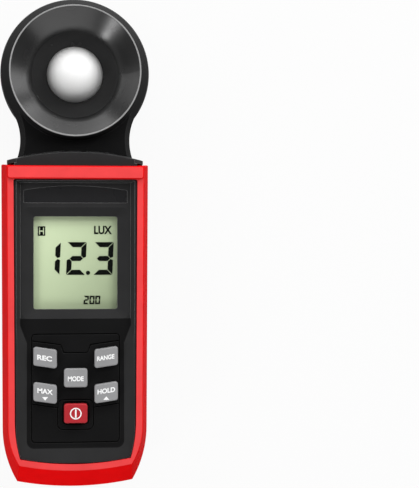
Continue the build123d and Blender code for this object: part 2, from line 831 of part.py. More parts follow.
with BuildPart() as front_shell:
    with BuildSketch(Plane.XY.offset(parting_z)):
        add(outline(panel_rim))
    extrude(amount=panel_z - parting_z)
    with BuildSketch(Plane.XY.offset(parting_z)):
        add(outline(flange_rim))
    extrude(amount=flange_height)
    # The wedge that follows the sinking rails, and the panel recess
    with BuildSketch(Plane.YZ):
        Polygon(
            (kink_y, panel_z),
            (case_bottom_y, panel_z - rail_drop),
            (case_bottom_y, panel_z + overrun),
            (kink_y, panel_z + overrun),
            align=None,
        )
    extrude(amount=case_width, both=True, mode=Mode.SUBTRACT)
    fillet(upper_edges(front_shell.part), radius=panel_edge)
    with BuildSketch(Plane.XY.offset(floor_z)):
        add(
            recess_outline(
                floor_half,
                keypad_half,
                keypad_half,
                panel_rim.top_y - strip_flat - strip_width / 2,
                panel_rim.bottom_y + strip_flat + foot_bevel,
                recess_round,
            )
        )
    with BuildSketch(Plane.XY.offset(panel_z)):
        add(
            recess_outline(
                rim_half,
                rim_half - strip_flat / 2,
                rim_half + keypad_bevel * sunk_share,
                panel_rim.top_y - strip_flat,
                panel_rim.bottom_y + strip_flat - foot_bevel * sunk_share,
                recess_round + panel_rim.round / 2,
            )
        )
    loft(ruled=True, mode=Mode.SUBTRACT)
    # The inside, up to the plate
    with BuildSketch(Plane.XY.offset(parting_z)):
        add(outline(shell_inner))
    extrude(amount=plate_under_z - parting_z, mode=Mode.SUBTRACT)
    with BuildSketch(Plane.XY.offset(parting_z)):
        with Locations((0, bay_y)):
            bay_outer = 2 * (bay_wall + seat_gap)
            Rectangle(2 * bay_half + bay_outer, bay_length + bay_outer)
    extrude(amount=bay_roof_z + bay_roof + seat_gap - parting_z, mode=Mode.SUBTRACT)
    # The tongue under the bar and the collar
    tongue_low_y = bush_seat_y - tongue_depth + rear_wall
    with BuildSketch(Plane.XY.offset(parting_z)):
        with Locations((0, (tongue_low_y + case_top_y + seat_gap) / 2)):
            Rectangle(2 * tongue_half, case_top_y + seat_gap - tongue_low_y)
    extrude(amount=plate_under_z - parting_z)
    with BuildSketch(Plane.XY.offset(plate_under_z)):
        with Locations((0, (panel_rim.top_y + case_top_y + seat_gap) / 2)):
            Rectangle(2 * tongue_half, case_top_y + seat_gap - panel_rim.top_y)
    extrude(amount=tongue_top_z - plate_under_z)
    with BuildPart(mode=Mode.PRIVATE) as collar_fore:
        add(collar_block.part)
        split(bisect_by=Plane.XY.offset(parting_z), keep=Keep.TOP)
        split(bisect_by=Plane.XZ.offset(-(case_top_y + seat_gap)), keep=Keep.BOTTOM)
    add(collar_fore.part)
    # The swivel's cavity
    with BuildSketch(Plane.XY.offset(parting_z)):
        with Locations((0, (tongue_low_y + bush_seat_y - shell_wall) / 2)):
            Rectangle(2 * swivel_cavity_half, bush_seat_y + shell_wall - tongue_low_y)
    extrude(amount=swivel_cavity_z - parting_z, mode=Mode.SUBTRACT)
    add(bush_bore.part, mode=Mode.SUBTRACT)
    # The display's block, bezel and window seat
    bezel_width = window_width + 2 * bezel_margin
    bezel_height = window_height + 2 * bezel_margin_long
    with BuildSketch(Plane.XY.offset(window_z)):
        with Locations((0, display_y)):
            Rectangle(2 * (shell_inner.half_low + seat_gap), bezel_height + 2 * shell_wall)
    extrude(amount=plate_under_z - window_z)
    with BuildSketch(Plane.XY.offset(floor_z)):
        with Locations((0, display_y)):
            RectangleRounded(bezel_width, bezel_height, bezel_round)
    with BuildSketch(Plane.XY.offset(floor_z - bezel_depth)):
        with Locations((0, display_y)):
            RectangleRounded(window_width, window_height, window_round)
    loft(ruled=True, mode=Mode.SUBTRACT)
    with BuildSketch(Plane.XY.offset(window_z)):
        with Locations((0, display_y)):
            RectangleRounded(window_width, window_height, window_round)
    extrude(amount=floor_z - window_z, mode=Mode.SUBTRACT)
    with BuildSketch(Plane.XY.offset(window_z)):
        with Locations((0, display_y)):
            seat_width = window_width + 2 * (window_ledge + seat_gap)
            Rectangle(seat_width, window_height + 2 * (window_ledge + seat_gap))
    extrude(amount=window_thickness, mode=Mode.SUBTRACT)
    # The recess of the name plate, with its arched top
    name_plate_y = case_top_y - name_plate_drop - name_plate_height
    with BuildSketch(Plane.XY.offset(floor_z - name_plate_thickness)) as name_plate_face:
        with BuildLine():
            half = floor_half - name_plate_inset
            top_y = name_plate_y + name_plate_height
            Polyline((-half, top_y), (-half, name_plate_y), (half, name_plate_y), (half, top_y))
            ThreePointArc((-half, top_y), (0, top_y + name_plate_arch), (half, top_y))
        make_face()
    extrude(amount=name_plate_thickness + overrun, mode=Mode.SUBTRACT)
    # Key openings
    with BuildSketch(Plane.XY.offset(plate_under_z)):
        for key_x, key_y, key_size, lean in keys.values():
            add(key_outline(key_x, key_y, key_size, lean, key_gap))
    extrude(amount=plate + overrun, mode=Mode.SUBTRACT)
    # A pocket round the power key
    power_x, power_y, power_size, power_lean = keys["power"]
    with BuildSketch(Plane.XY.offset(floor_z - pocket_depth)):
        add(key_outline(power_x, power_y, power_size, power_lean, pocket_margin))
    extrude(amount=pocket_depth + overrun, mode=Mode.SUBTRACT)
    # Fine grooves round the keypad, across it and round the pocket
    groove_top_y = case_bottom_y + groove_top_rise
    groove_bottom_y = case_bottom_y + groove_bottom_rise
    groove_height = groove_top_y - groove_bottom_y
    lane_y = groove_top_y - lane_drop
    lower_lane_y = case_bottom_y + lane_lower_rise
    with BuildSketch(Plane.XY.offset(floor_z - groove_depth)):
        with Locations((0, (groove_top_y + groove_bottom_y) / 2)):
            add(groove_ring(groove_half, groove_height / 2, groove_round))
        with Locations((power_x, power_y - ring_drop)):
            add(groove_ring(ring_half_width, ring_half_height, ring_round))
        for side in (-1, 1):
            with BuildLine():
                Polyline(
                    (side * groove_half, lane_y),
                    (side * lane_half, lane_y - lane_slant),
                    (side * (lane_half - lane_step), lane_y - lane_slant - lane_dip),
                    (0, lane_y - lane_slant - lane_dip),
                )
            trace(line_width=groove_width)
            with BuildLine():
                Line(
                    (side * groove_half, lower_lane_y),
                    (side * ring_half_width, lower_lane_y - lane_slant),
                )
            trace(line_width=groove_width)
    extrude(amount=groove_depth + overrun, mode=Mode.SUBTRACT)
    # Bosses for the board, and for the case screws at the foot
    with BuildSketch(Plane.XY.offset(board_top_z)):
        with Locations(*board_bosses_at):
            Circle(boss_radius)
    extrude(amount=plate_under_z - board_top_z)
    with BuildSketch(Plane.XY.offset(parting_z)):
        with Locations(*foot_screws_at):
            Circle(foot_boss_radius)
    extrude(amount=foot_boss_height)
    with BuildSketch(Plane.XY.offset(board_top_z)):
        with Locations(*board_bosses_at):
            Circle(board_screw_radius + thread_gap)
    screw_reach = board_screw_length - board_thickness + stack_gap
    extrude(amount=screw_reach, mode=Mode.SUBTRACT)
    with BuildSketch(Plane.XY.offset(parting_z)):
        with Locations(*top_screws_at, *foot_screws_at):
            Circle(case_screw_radius + thread_gap)
    extrude(amount=foot_boss_height - stack_gap, mode=Mode.SUBTRACT)
front_shell.part.label = "front_shell"
export_step(front_shell.part, "parts/front_shell.step")

with BuildPart() as name_plate:
    with BuildSketch(Plane.XY.offset(floor_z - name_plate_thickness)):
        offset(name_plate_face.sketch_local, amount=-seat_gap)
    extrude(amount=name_plate_thickness)
name_plate.part.label = "name_plate"
export_step(name_plate.part, "parts/name_plate.step")

# Red frame round the front
with BuildPart() as front_frame:
    with BuildSketch(Plane.XY.offset(parting_z)):
        add(outline(parting_rim))
    with BuildSketch(Plane.XY.offset(rail_z)):
        add(outline(crease_rim))
    loft(ruled=True)
    with BuildSketch(Plane.YZ):
        Polygon(
            (kink_y, rail_z),
            (case_bottom_y, rail_z - rail_drop),
            (case_bottom_y, rail_z + overrun),
            (kink_y, rail_z + overrun),
            align=None,
        )
    extrude(amount=case_width, both=True, mode=Mode.SUBTRACT)
    fillet(upper_edges(front_frame.part), radius=frame_edge)
    with BuildSketch(Plane.XY.offset(rail_z - frame_edge)):
        with Locations((0, (crease_rim.top_y + bar_bottom_y) / 2)):
            RectangleRounded(2 * crease_rim.half_top, crease_rim.top_y - bar_bottom_y, bar_round)
    extrude(amount=bar_rise + frame_edge, taper=bar_draft)
    fillet(front_frame.faces().sort_by(Axis.Z)[-1].edges(), radius=bar_edge)
    # Hollow under the lip, leaving the outer wall
    lip_z = rail_z - frame_wall
    lip_share = (lip_z - parting_z) / rail_rise
    with BuildSketch(Plane.XY.offset(parting_z)):
        add(outline(inset(parting_rim, frame_wall)))
    lip_rim = inset(parting_rim, frame_wall + rail_lean * lip_share)._replace(
        corner_y=parting_rim.corner_y + frame_wall + foot_slope * lip_share,
        bottom_y=case_bottom_y + frame_wall + foot_slope * lip_share,
    )
    with BuildSketch(Plane.XY.offset(lip_z)):
        add(outline(lip_rim))
    loft(ruled=True, mode=Mode.SUBTRACT)
    # The opening for the panel, and the way through for the tongue
    with BuildSketch(Plane.XY.offset(parting_z)):
        add(outline(opening_rim))
    extrude(amount=rail_rise + overrun, mode=Mode.SUBTRACT)
    with BuildSketch(Plane.XY.offset(parting_z)):
        way_low_y = panel_rim.top_y - seat_gap
        with Locations((0, (way_low_y + case_top_y + overrun) / 2)):
            Rectangle(2 * (tongue_half + seat_gap), case_top_y + overrun - way_low_y)
    extrude(amount=tongue_top_z + seat_gap - parting_z, mode=Mode.SUBTRACT)
front_frame.part.label = "front_frame"
export_step(front_frame.part, "parts/front_frame.step")

# Main board, its screws and its parts
with BuildPart() as main_board:
    with BuildSketch(Plane.XY.offset(board_z)):
        add(outline(inset(shell_inner, board_gap)._replace(top_y=board_top_y)))
        with Locations(*board_bosses_at):
            Circle(board_screw_radius + seat_gap, mode=Mode.SUBTRACT)
    extrude(amount=board_thickness)
main_board.part.label = "main_board"
export_step(main_board.part, "parts/main_board.step")

with BuildPart() as board_screws:
    with BuildSketch(Plane.XY.offset(board_z - board_screw_head_height)):
        with Locations(*board_bosses_at):
            Circle(board_screw_head)
    extrude(amount=board_screw_head_height)
    with BuildSketch(Plane.XY.offset(board_z)):
        with Locations(*board_bosses_at):
            Circle(board_screw_radius)
    extrude(amount=board_screw_length)
board_screws.part.label = "board_screws"
export_step(board_screws.part, "parts/board_screws.step")

with BuildPart() as processor_chip:
    with BuildSketch(Plane.XY.offset(board_z - chip_height)):
        with Locations((0, display_y)):
            Rectangle(chip_size, chip_size)
    extrude(amount=chip_height)
processor_chip.part.label = "processor_chip"
export_step(processor_chip.part, "parts/processor_chip.step")

part_x = chip_size / 2 + part_inset
with BuildPart() as board_parts:
    with BuildSketch(Plane.XY.offset(board_z - resistor_height)):
        with Locations((-part_x, display_y), (part_x, display_y)):
            with GridLocations(1, resistor_pitch, 1, resistor_rows):
                Rectangle(resistor_width, resistor_length)
    extrude(amount=resistor_height)
    with BuildSketch(Plane.XY.offset(board_z - capacitor_height)):
        with Locations((-part_x, display_y - part_x), (part_x, display_y - part_x)):
            Circle(capacitor_radius)
    extrude(amount=capacitor_height)
board_parts.part.label = "board_parts"
export_step(board_parts.part, "parts/board_parts.step")

with BuildPart() as sensor_socket:
    socket_front_y = board_top_y + socket_lip
    with BuildSketch(Plane.XY.offset(board_z - socket_height)):
        with Locations((0, socket_front_y - socket_length / 2)):
            Rectangle(socket_width, socket_length)
    extrude(amount=socket_height)
sensor_socket.part.label = "sensor_socket"
export_step(sensor_socket.part, "parts/sensor_socket.step")

# Case screws, with a straight slot in each head
case_screw_top_z = parting_z + foot_boss_height - 2 * stack_gap
with BuildPart() as case_screws:
    for places, seat_z in ((top_screws_at, case_screw_seat), (foot_screws_at, foot_screw_seat)):
        with BuildSketch(Plane.XY.offset(seat_z - case_screw_head_height)):
            with Locations(*places):
                Circle(case_screw_head)
        extrude(amount=case_screw_head_height)
        with BuildSketch(Plane.XY.offset(seat_z)):
            with Locations(*places):
                Circle(case_screw_radius)
        extrude(amount=case_screw_top_z - seat_z)
        with BuildSketch(Plane.XY.offset(seat_z - case_screw_head_height)):
            with Locations(*places):
                Rectangle(2 * case_screw_radius, case_screw_slot)
                Rectangle(case_screw_slot, 2 * case_screw_radius)
        extrude(amount=case_screw_head_height / 2, mode=Mode.SUBTRACT)
case_screws.part.label = "case_screws"
export_step(case_screws.part, "parts/case_screws.step")

# Swivel: bush, washer and clip on the shaft, one above the other
bush_foot_y = bush_seat_y - bush_flange_thickness
washer_top_y = bush_foot_y - stack_gap
washer_y = washer_top_y - washer_thickness
clip_top_y = washer_y - stack_gap
clip_y = clip_top_y - clip_thickness
lug_top_y = clip_y - 2 * stack_gap
shaft_end_y = lug_top_y - lug_thickness
flange_y = cap_apex_y + shaft_flange_rise
bore_radius = shaft_radius + shaft_gap

with BuildPart() as collar_bush:
    with BuildSketch(Plane.XZ.offset(-bush_foot_y)):
        with Locations((0, swivel_z)):
            Circle(bush_flange_radius)
    extrude(amount=-bush_flange_thickness)
    with BuildSketch(Plane.XZ.offset(-bush_seat_y)):
        with Locations((0, swivel_z)):
            Circle(bush_radius)
    extrude(amount=-(bush_top_y - bush_seat_y))
    with BuildSketch(Plane.XZ.offset(-(bush_foot_y - overrun))):
        with Locations((0, swivel_z)):
            Circle(bore_radius)
    extrude(amount=-(bush_top_y - bush_foot_y + 2 * overrun), mode=Mode.SUBTRACT)
collar_bush.part.label = "collar_bush"
export_step(collar_bush.part, "parts/collar_bush.step")

with BuildPart() as friction_washer:
    with BuildSketch(Plane.XZ.offset(-washer_y)):
        with Locations((0, swivel_z)):
            Circle(bush_flange_radius)
            Circle(bore_radius, mode=Mode.SUBTRACT)
    extrude(amount=-washer_thickness)
friction_washer.part.label = "friction_washer"
export_step(friction_washer.part, "parts/friction_washer.step")

groove_radius = shaft_radius - clip_groove
with BuildPart() as swivel_clip:
    with BuildSketch(Plane.XZ.offset(-clip_y)):
        with Locations((0, swivel_z)):
            Circle(clip_radius)
            Circle(groove_radius, mode=Mode.SUBTRACT)
        with Locations((0, swivel_z + clip_radius)):
            Rectangle(clip_mouth, 2 * clip_radius, mode=Mode.SUBTRACT)
    extrude(amount=-clip_thickness)
swivel_clip.part.label = "swivel_clip"
export_step(swivel_clip.part, "parts/swivel_clip.step")

with BuildPart() as swivel_shaft:
    with BuildSketch(Plane.XZ.offset(-shaft_end_y)):
        with Locations((0, swivel_z)):
            Circle(shaft_radius)
    extrude(amount=-(flange_y - shaft_end_y))
    with BuildSketch(Plane.XZ.offset(-flange_y)):
        with Locations((0, swivel_z)):
            Rectangle(2 * shaft_flange_half, 2 * shaft_flange_half)
    extrude(amount=-shaft_flange_thickness)
    # The stop lug, pointing to the front left at rest
    lug_from = math.radians(90 + lug_rest_angle - lug_half_angle)
    lug_to = math.radians(90 + lug_rest_angle + lug_half_angle)
    with BuildSketch(Plane.XZ.offset(-shaft_end_y)):
        with BuildLine():
            Line(
                (0, swivel_z),
                (lug_radius * math.cos(lug_from), swivel_z + lug_radius * math.sin(lug_from)),
            )
            lug_middle = math.radians(90 + lug_rest_angle)
            ThreePointArc(
                (lug_radius * math.cos(lug_from), swivel_z + lug_radius * math.sin(lug_from)),
                (lug_radius * math.cos(lug_middle), swivel_z + lug_radius * math.sin(lug_middle)),
                (lug_radius * math.cos(lug_to), swivel_z + lug_radius * math.sin(lug_to)),
            )
            Line(
                (lug_radius * math.cos(lug_to), swivel_z + lug_radius * math.sin(lug_to)),
                (0, swivel_z),
            )
        make_face()
    extrude(amount=-lug_thickness)
    with BuildSketch(Plane.XZ.offset(-(clip_y - stack_gap))):
        with Locations((0, swivel_z)):
            Circle(lug_radius)
            Circle(groove_radius, mode=Mode.SUBTRACT)
    extrude(amount=-(clip_thickness + 2 * stack_gap), mode=Mode.SUBTRACT)
    with BuildSketch(Plane.XZ.offset(-(shaft_end_y - overrun))):
        with Locations((0, swivel_z)):
            Circle(shaft_bore)
    extrude(amount=-(flange_y - shaft_end_y + 2 * overrun), mode=Mode.SUBTRACT)
swivel_shaft.part.label = "swivel_shaft"
export_step(swivel_shaft.part, "parts/swivel_shaft.step")

# Sensor head, turned about the dome's axis
head_axis = Axis((0, head_y, 0), (0, 0, 1))
head_section = Plane(origin=(0, head_y, swivel_z), x_dir=(1, 0, 0), z_dir=(0, -1, 0))
rim_radius = head_radius - rim_inset
dish_radius = rim_radius - rim_width - funnel_run
hollow_tip_radius = rim_radius - hollow_tip_inset
hollow_foot_radius = dish_radius + hollow_foot_wall
sensor_board_radius = hollow_foot_radius - sensor_board_gap
head_screw_ring = head_radius - head_screw_inset
post_ring = sensor_board_radius - post_inset
seam_radius = head_radius + rim_inset * head_band / (head_front - head_band)
screw_angles = (90, 210, 330)
head_screws_at = [
    (
        head_screw_ring * math.cos(math.radians(angle)),
        head_y + head_screw_ring * math.sin(math.radians(angle)),
    )
    for angle in screw_angles
]
dish_floor_z = swivel_z + dish_floor
annulus_under_z = dish_floor_z - annulus_thickness
dome_flange_z = annulus_under_z - dome_flange_thickness
sensor_board_z = dome_flange_z - sensor_board_thickness
head_back_z = swivel_z - head_back
head_inner_z = head_back_z + head_wall
head_back_radius = head_radius - head_back_round
neck_foot_y = cap_apex_y - neck_foot_sink
neck_top_radius = head_radius - neck_top_inset


def neck_outline():
    """Neck seen from the front: drawn in below the head and flared at the collar."""
    with BuildSketch(Plane.XY) as face:
        with BuildLine():
            top_turn = math.radians(neck_top_angle)
            top_y = head_y - neck_top_radius * math.sin(top_turn)
            top = (neck_top_radius * math.cos(top_turn), top_y)
            foot = (neck_foot_half, neck_foot_y)
            ThreePointArc(top, (neck_waist_half, cap_apex_y + neck_waist_rise), foot)
            Line(foot, (neck_foot_half, neck_foot_y - neck_overrun))
            Line((neck_foot_half, neck_foot_y - neck_overrun), (0, neck_foot_y - neck_overrun))
            Line(top, (0, top_y))
            mirror(about=Plane.YZ)
        make_face()
    return face.sketch


with BuildPart() as flange_pocket:
    with BuildSketch(Plane.XZ.offset(-(flange_y - seat_gap))):
        with Locations((0, swivel_z)):
            half = shaft_flange_half + seat_gap
            Rectangle(2 * half, 2 * half)
    extrude(amount=-(shaft_flange_thickness + 2 * seat_gap))
    with BuildSketch(Plane.XZ.offset(-(cap_apex_y - overrun))):
        with Locations((0, swivel_z)):
            Circle(shaft_radius + seat_gap)
    extrude(amount=-(flange_y - cap_apex_y + overrun))
    with BuildSketch(Plane.XZ.offset(-flange_y)):
        with Locations((0, swivel_z)):
            Circle(lead_channel)
    extrude(amount=-(head_y - hollow_tip_radius - flange_y))

with BuildPart() as neck_front_block:
    with BuildSketch(Plane.XY.offset(swivel_z)):
        add(neck_outline())
    extrude(amount=neck_front)
    neck_face = neck_front_block.faces().sort_by(Axis.Z)[-1]
    chamfer(
        neck_face.edges().filter_by(GeomType.CIRCLE),
        length=neck_chamfer,
        length2=neck_chamfer_drop,
        reference=neck_face,
    )
    with Locations((0, cap_centre_y, swivel_z)):
        Sphere(cap_radius + cap_gap, mode=Mode.SUBTRACT)

with BuildPart() as neck_back_block:
    with BuildSketch(Plane.XY.offset(swivel_z)):
        add(neck_outline())
    extrude(amount=-neck_back)
    neck_face = neck_back_block.faces().sort_by(Axis.Z)[0]
    fillet(neck_face.edges().filter_by(GeomType.CIRCLE), radius=neck_back_round)
    with Locations((0, cap_centre_y, swivel_z)):
        Sphere(cap_radius + cap_gap, mode=Mode.SUBTRACT)

# What the neck leaves free inside the head, up to the middle of the ring's wall
with BuildPart() as ring_core:
    with BuildSketch(head_section):
        Polygon(
            (0, -head_back - overrun),
            (head_radius - head_wall / 2, -head_back - overrun),
            (head_radius - head_wall / 2, head_band),
            (rim_radius - rim_width, head_front),
            (0, head_front),
            align=None,
        )
    revolve(axis=head_axis)

with BuildPart() as head_front_shell:
    # Ring, funnel and annulus in one turned section
    with BuildSketch(head_section):
        Polygon(
            (dome_radius + dome_gap, annulus_under_z - swivel_z),
            (hollow_foot_radius, annulus_under_z - swivel_z),
            (hollow_foot_radius, dish_floor),
            (hollow_tip_radius, hollow_tip_rise),
            (seam_radius - head_wall, 0),
            (seam_radius, 0),
            (rim_radius, head_front),
            (rim_radius - rim_width, head_front),
            (dish_radius, dish_floor),
            (dome_radius + dome_gap, dish_floor),
            align=None,
        )
        fillet(vertices().filter_by(lambda v: v.Y > hollow_tip_rise), radius=rim_round)
    revolve(axis=head_axis)
    with BuildSketch(Plane.XY.offset(swivel_z)):
        with Locations(*head_screws_at):
            Circle(head_front_boss_radius)
    extrude(amount=head_front_boss_rise)
    with BuildPart(mode=Mode.PRIVATE) as front_neck:
        add(neck_front_block.part)
        add(ring_core.part, mode=Mode.SUBTRACT)
    add(front_neck.part)
    with BuildSketch(Plane.XY.offset(swivel_z)):
        with Locations(*head_screws_at):
            Circle(head_screw_radius + thread_gap)
    extrude(amount=head_screw_tip + stack_gap, mode=Mode.SUBTRACT)
    add(flange_pocket.part, mode=Mode.SUBTRACT)
head_front_shell.part.label = "head_front_shell"
export_step(head_front_shell.part, "parts/head_front_shell.step")

with BuildPart() as head_rear_shell:
    add(neck_back_block.part)
    with BuildSketch(head_section):
        with BuildLine():
            Line((0, 0), (0, -head_back))
            Line((0, -head_back), (head_back_radius, -head_back))
            TangentArc(
                (head_back_radius, -head_back),
                (head_radius, -head_back + head_back_round),
                tangent=(1, 0),
            )
            Line((head_radius, -head_back + head_back_round), (head_radius, head_band))
            Line((head_radius, head_band), (seam_radius, 0))
            Line((seam_radius, 0), (0, 0))
        make_face()
    revolve(axis=head_axis)
    with BuildSketch(head_section):
        with BuildLine():
            inner_radius = seam_radius - head_wall
            Line((0, 0), (0, -head_back + head_wall))
            Line((0, -head_back + head_wall), (head_back_radius - head_wall, -head_back + head_wall))
            TangentArc(
                (head_back_radius - head_wall, -head_back + head_wall),
                (inner_radius, -head_back + head_back_round + head_wall),
                tangent=(1, 0),
            )
            Line((inner_radius, -head_back + head_back_round + head_wall), (inner_radius, 0))
            Line((inner_radius, 0), (0, 0))
        make_face()
    revolve(axis=head_axis, mode=Mode.SUBTRACT)
    with BuildSketch(Plane.XY.offset(head_inner_z - head_wall / 2)):
        with Locations((0, head_y)):
            with PolarLocations(post_ring, len(screw_angles), start_angle=screw_angles[0]):
                Circle(post_radius)
    extrude(amount=sensor_board_z - head_inner_z + head_wall / 2)
    with BuildSketch(Plane.XY.offset(head_inner_z - head_wall / 2)):
        with Locations(*head_screws_at):
            Circle(head_boss_radius)
    extrude(amount=swivel_z - head_inner_z + head_wall / 2)
    with BuildSketch(Plane.XY.offset(head_back_z - overrun)):
        with Locations(*head_screws_at):
            Circle(head_screw_radius + seat_gap)
    extrude(amount=head_back + 2 * overrun, mode=Mode.SUBTRACT)
    with BuildSketch(Plane.XY.offset(head_back_z - overrun)):
        with Locations(*head_screws_at):
            Circle(head_screw_head + seat_gap)
    extrude(amount=overrun + head_screw_seat, mode=Mode.SUBTRACT)
    add(flange_pocket.part, mode=Mode.SUBTRACT)
head_rear_shell.part.label = "head_rear_shell"
export_step(head_rear_shell.part, "parts/head_rear_shell.step")

with BuildPart() as head_screws:
    head_seat_z = head_back_z + head_screw_seat
    with BuildSketch(Plane.XY.offset(head_seat_z - head_screw_head_height)):
        with Locations(*head_screws_at):
            Circle(head_screw_head)
    extrude(amount=head_screw_head_height)
    with BuildSketch(Plane.XY.offset(head_seat_z)):
        with Locations(*head_screws_at):
            Circle(head_screw_radius)
    extrude(amount=swivel_z + head_screw_tip - head_seat_z)
    with BuildSketch(Plane.XY.offset(head_seat_z - head_screw_head_height)):
        with Locations(*head_screws_at):
            Rectangle(2 * head_screw_radius, case_screw_slot)
            Rectangle(case_screw_slot, 2 * head_screw_radius)
    extrude(amount=head_screw_head_height / 2, mode=Mode.SUBTRACT)
head_screws.part.label = "head_screws"
export_step(head_screws.part, "parts/head_screws.step")

# Dome with its flange clamped between the annulus and the sensor board
dome_top = dome_height + dish_floor
dome_start = annulus_under_z - swivel_z
dome_foot = dome_flange_z - swivel_z
dome_side = dish_floor
inner_dome = dome_radius - dome_wall
with BuildPart() as diffuser_dome:
    with BuildSketch(head_section):
        with BuildLine():
            Line((inner_dome, dome_foot), (dome_radius + dome_flange, dome_foot))
            Line((dome_radius + dome_flange, dome_foot), (dome_radius + dome_flange, dome_start))
            Line((dome_radius + dome_flange, dome_start), (dome_radius, dome_start))
            Line((dome_radius, dome_start), (dome_radius, dome_side))
            TangentArc((0, dome_top), (dome_radius, dome_side), tangent=(1, 0))
            Line((0, dome_top), (0, dome_top - dome_wall))
            TangentArc((0, dome_top - dome_wall), (inner_dome, dome_side), tangent=(1, 0))
            Line((inner_dome, dome_side), (inner_dome, dome_foot))
        make_face()
    revolve(axis=head_axis)
diffuser_dome.part.label = "diffuser_dome"
export_step(diffuser_dome.part, "parts/diffuser_dome.step")

with BuildPart() as sensor_board:
    with BuildSketch(Plane.XY.offset(sensor_board_z)):
        with Locations((0, head_y)):
            Circle(sensor_board_radius)
    extrude(amount=sensor_board_thickness)
sensor_board.part.label = "sensor_board"
export_step(sensor_board.part, "parts/sensor_board.step")

with BuildPart() as photodiode:
    with BuildSketch(Plane.XY.offset(dome_flange_z)):
        with Locations((0, head_y)):
            Circle(photodiode_radius)
    extrude(amount=photodiode_height)
photodiode.part.label = "photodiode"
export_step(photodiode.part, "parts/photodiode.step")

with BuildPart() as optical_filter:
    with BuildSketch(Plane.XY.offset(dome_flange_z + photodiode_height)):
        with Locations((0, head_y)):
            Circle(filter_radius)
    extrude(amount=filter_thickness)
optical_filter.part.label = "optical_filter"
export_step(optical_filter.part, "parts/optical_filter.step")

# The lead, from the sensor board's edge down the hollow shaft, and on to the socket
lead_start_z = sensor_board_z + sensor_board_thickness / 2
with BuildPart() as head_lead:
    with BuildLine() as lead_path:
        FilletPolyline(
            (0, head_y - sensor_board_radius, lead_start_z),
            (0, head_y - sensor_board_radius - lead_start_run, lead_start_z),
            (0, flange_y + shaft_flange_thickness + lead_end_run, swivel_z),
            (0, shaft_end_y, swivel_z),
            radius=lead_bend,
        )
    with BuildSketch(Plane.XZ.offset(-(head_y - sensor_board_radius))):
        with Locations((0, lead_start_z)):
            Circle(lead_radius)
    sweep(path=lead_path.line)
head_lead.part.label = "head_lead"
export_step(head_lead.part, "parts/head_lead.step")

with BuildPart() as case_lead:
    with BuildSketch(Plane.XZ.offset(-socket_front_y)):
        with Locations((0, swivel_z)):
            Circle(lead_radius)
    extrude(amount=-(shaft_end_y - socket_front_y))
case_lead.part.label = "case_lead"
export_step(case_lead.part, "parts/case_lead.step")
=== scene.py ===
import json
import math

import bmesh
import bpy
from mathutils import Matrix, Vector


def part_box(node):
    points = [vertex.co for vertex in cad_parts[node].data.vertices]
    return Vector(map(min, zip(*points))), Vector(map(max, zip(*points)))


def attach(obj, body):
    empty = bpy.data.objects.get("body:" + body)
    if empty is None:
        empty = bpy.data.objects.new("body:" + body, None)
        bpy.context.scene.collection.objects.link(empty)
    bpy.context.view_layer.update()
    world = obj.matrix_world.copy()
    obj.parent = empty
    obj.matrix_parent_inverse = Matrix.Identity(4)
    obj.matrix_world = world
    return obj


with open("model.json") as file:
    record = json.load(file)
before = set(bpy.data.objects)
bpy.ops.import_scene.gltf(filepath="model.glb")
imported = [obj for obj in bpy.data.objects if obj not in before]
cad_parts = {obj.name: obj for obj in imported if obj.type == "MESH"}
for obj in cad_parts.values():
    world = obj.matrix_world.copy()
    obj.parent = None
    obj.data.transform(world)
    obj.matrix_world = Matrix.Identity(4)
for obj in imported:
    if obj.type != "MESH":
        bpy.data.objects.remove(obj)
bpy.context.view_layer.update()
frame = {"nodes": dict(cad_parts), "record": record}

# All lengths are in metres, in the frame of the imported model
# Camera: the photograph's own frame, and its scale at the height where the case parts
PHOTO_WIDTH = 419
METER_CENTRE_U = 75.03
PARTING_Z = 0.013
CAMERA_RISE = 0.56
CAMERA_LEFT = 0.012
CAMERA_LOW = 0.0006
FOCAL_PIXELS = 1436.1
SENSOR_WIDTH = 36.0


def add_camera():
    """A long lens straight above the meter, turned so that the meter stands at the left of the view."""
    data = bpy.data.cameras.new("camera")
    data.sensor_fit = "HORIZONTAL"
    data.sensor_width = SENSOR_WIDTH
    data.lens = SENSOR_WIDTH * FOCAL_PIXELS / PHOTO_WIDTH
    camera = bpy.data.objects.new("camera", data)
    bpy.context.scene.collection.objects.link(camera)
    camera.location = (-CAMERA_LEFT, -CAMERA_LOW, PARTING_Z + CAMERA_RISE)
    to_meter = math.atan2(CAMERA_LEFT, CAMERA_RISE)
    across = math.atan2(PHOTO_WIDTH / 2 - METER_CENTRE_U, FOCAL_PIXELS)
    camera.rotation_euler = (0, -(to_meter + across), 0)
    bpy.context.scene.camera = camera


add_camera()


# Materials: sizes of their marks, places where a colour changes, and colours
CLOUD_SIZE = 0.012
NOISE_LOW, NOISE_HIGH = 0.3, 0.7
SLIGHT = 0.07
EDGE_RADIUS = 0.0003

FUNNEL_RADIUS = 0.0246
CREST_RADIUS = 0.02515
DISH_FLOOR_RADIUS = 0.0167
STEP_TILT = 0.7
HEAD_BLACK = (0.010, 0.010, 0.0102)
FUNNEL_WALL_BLACK = (0.014, 0.014, 0.0142)
DISH_FLOOR_BLACK = (0.036, 0.036, 0.0364)
# Painted highlights: a light grey ring on the rim's crest, and grey along the head's edges
PAINTED_CREST_HIGHLIGHT = (0.3, 0.3, 0.3)
PAINTED_HEAD_EDGE_HIGHLIGHT = (0.05, 0.05, 0.05)
FUNNEL_GLOSS = 0.52
HEAD_GLOSS = 0.002

KEYPAD_TOP_Y = -0.029
KEYPAD_FLOOR_Z = 0.02435
KEYPAD_LOW_Z = 0.021
CASE_BLACK = (0.027, 0.027, 0.0275)
KEYPAD_BLACK = (0.009, 0.009, 0.0092)
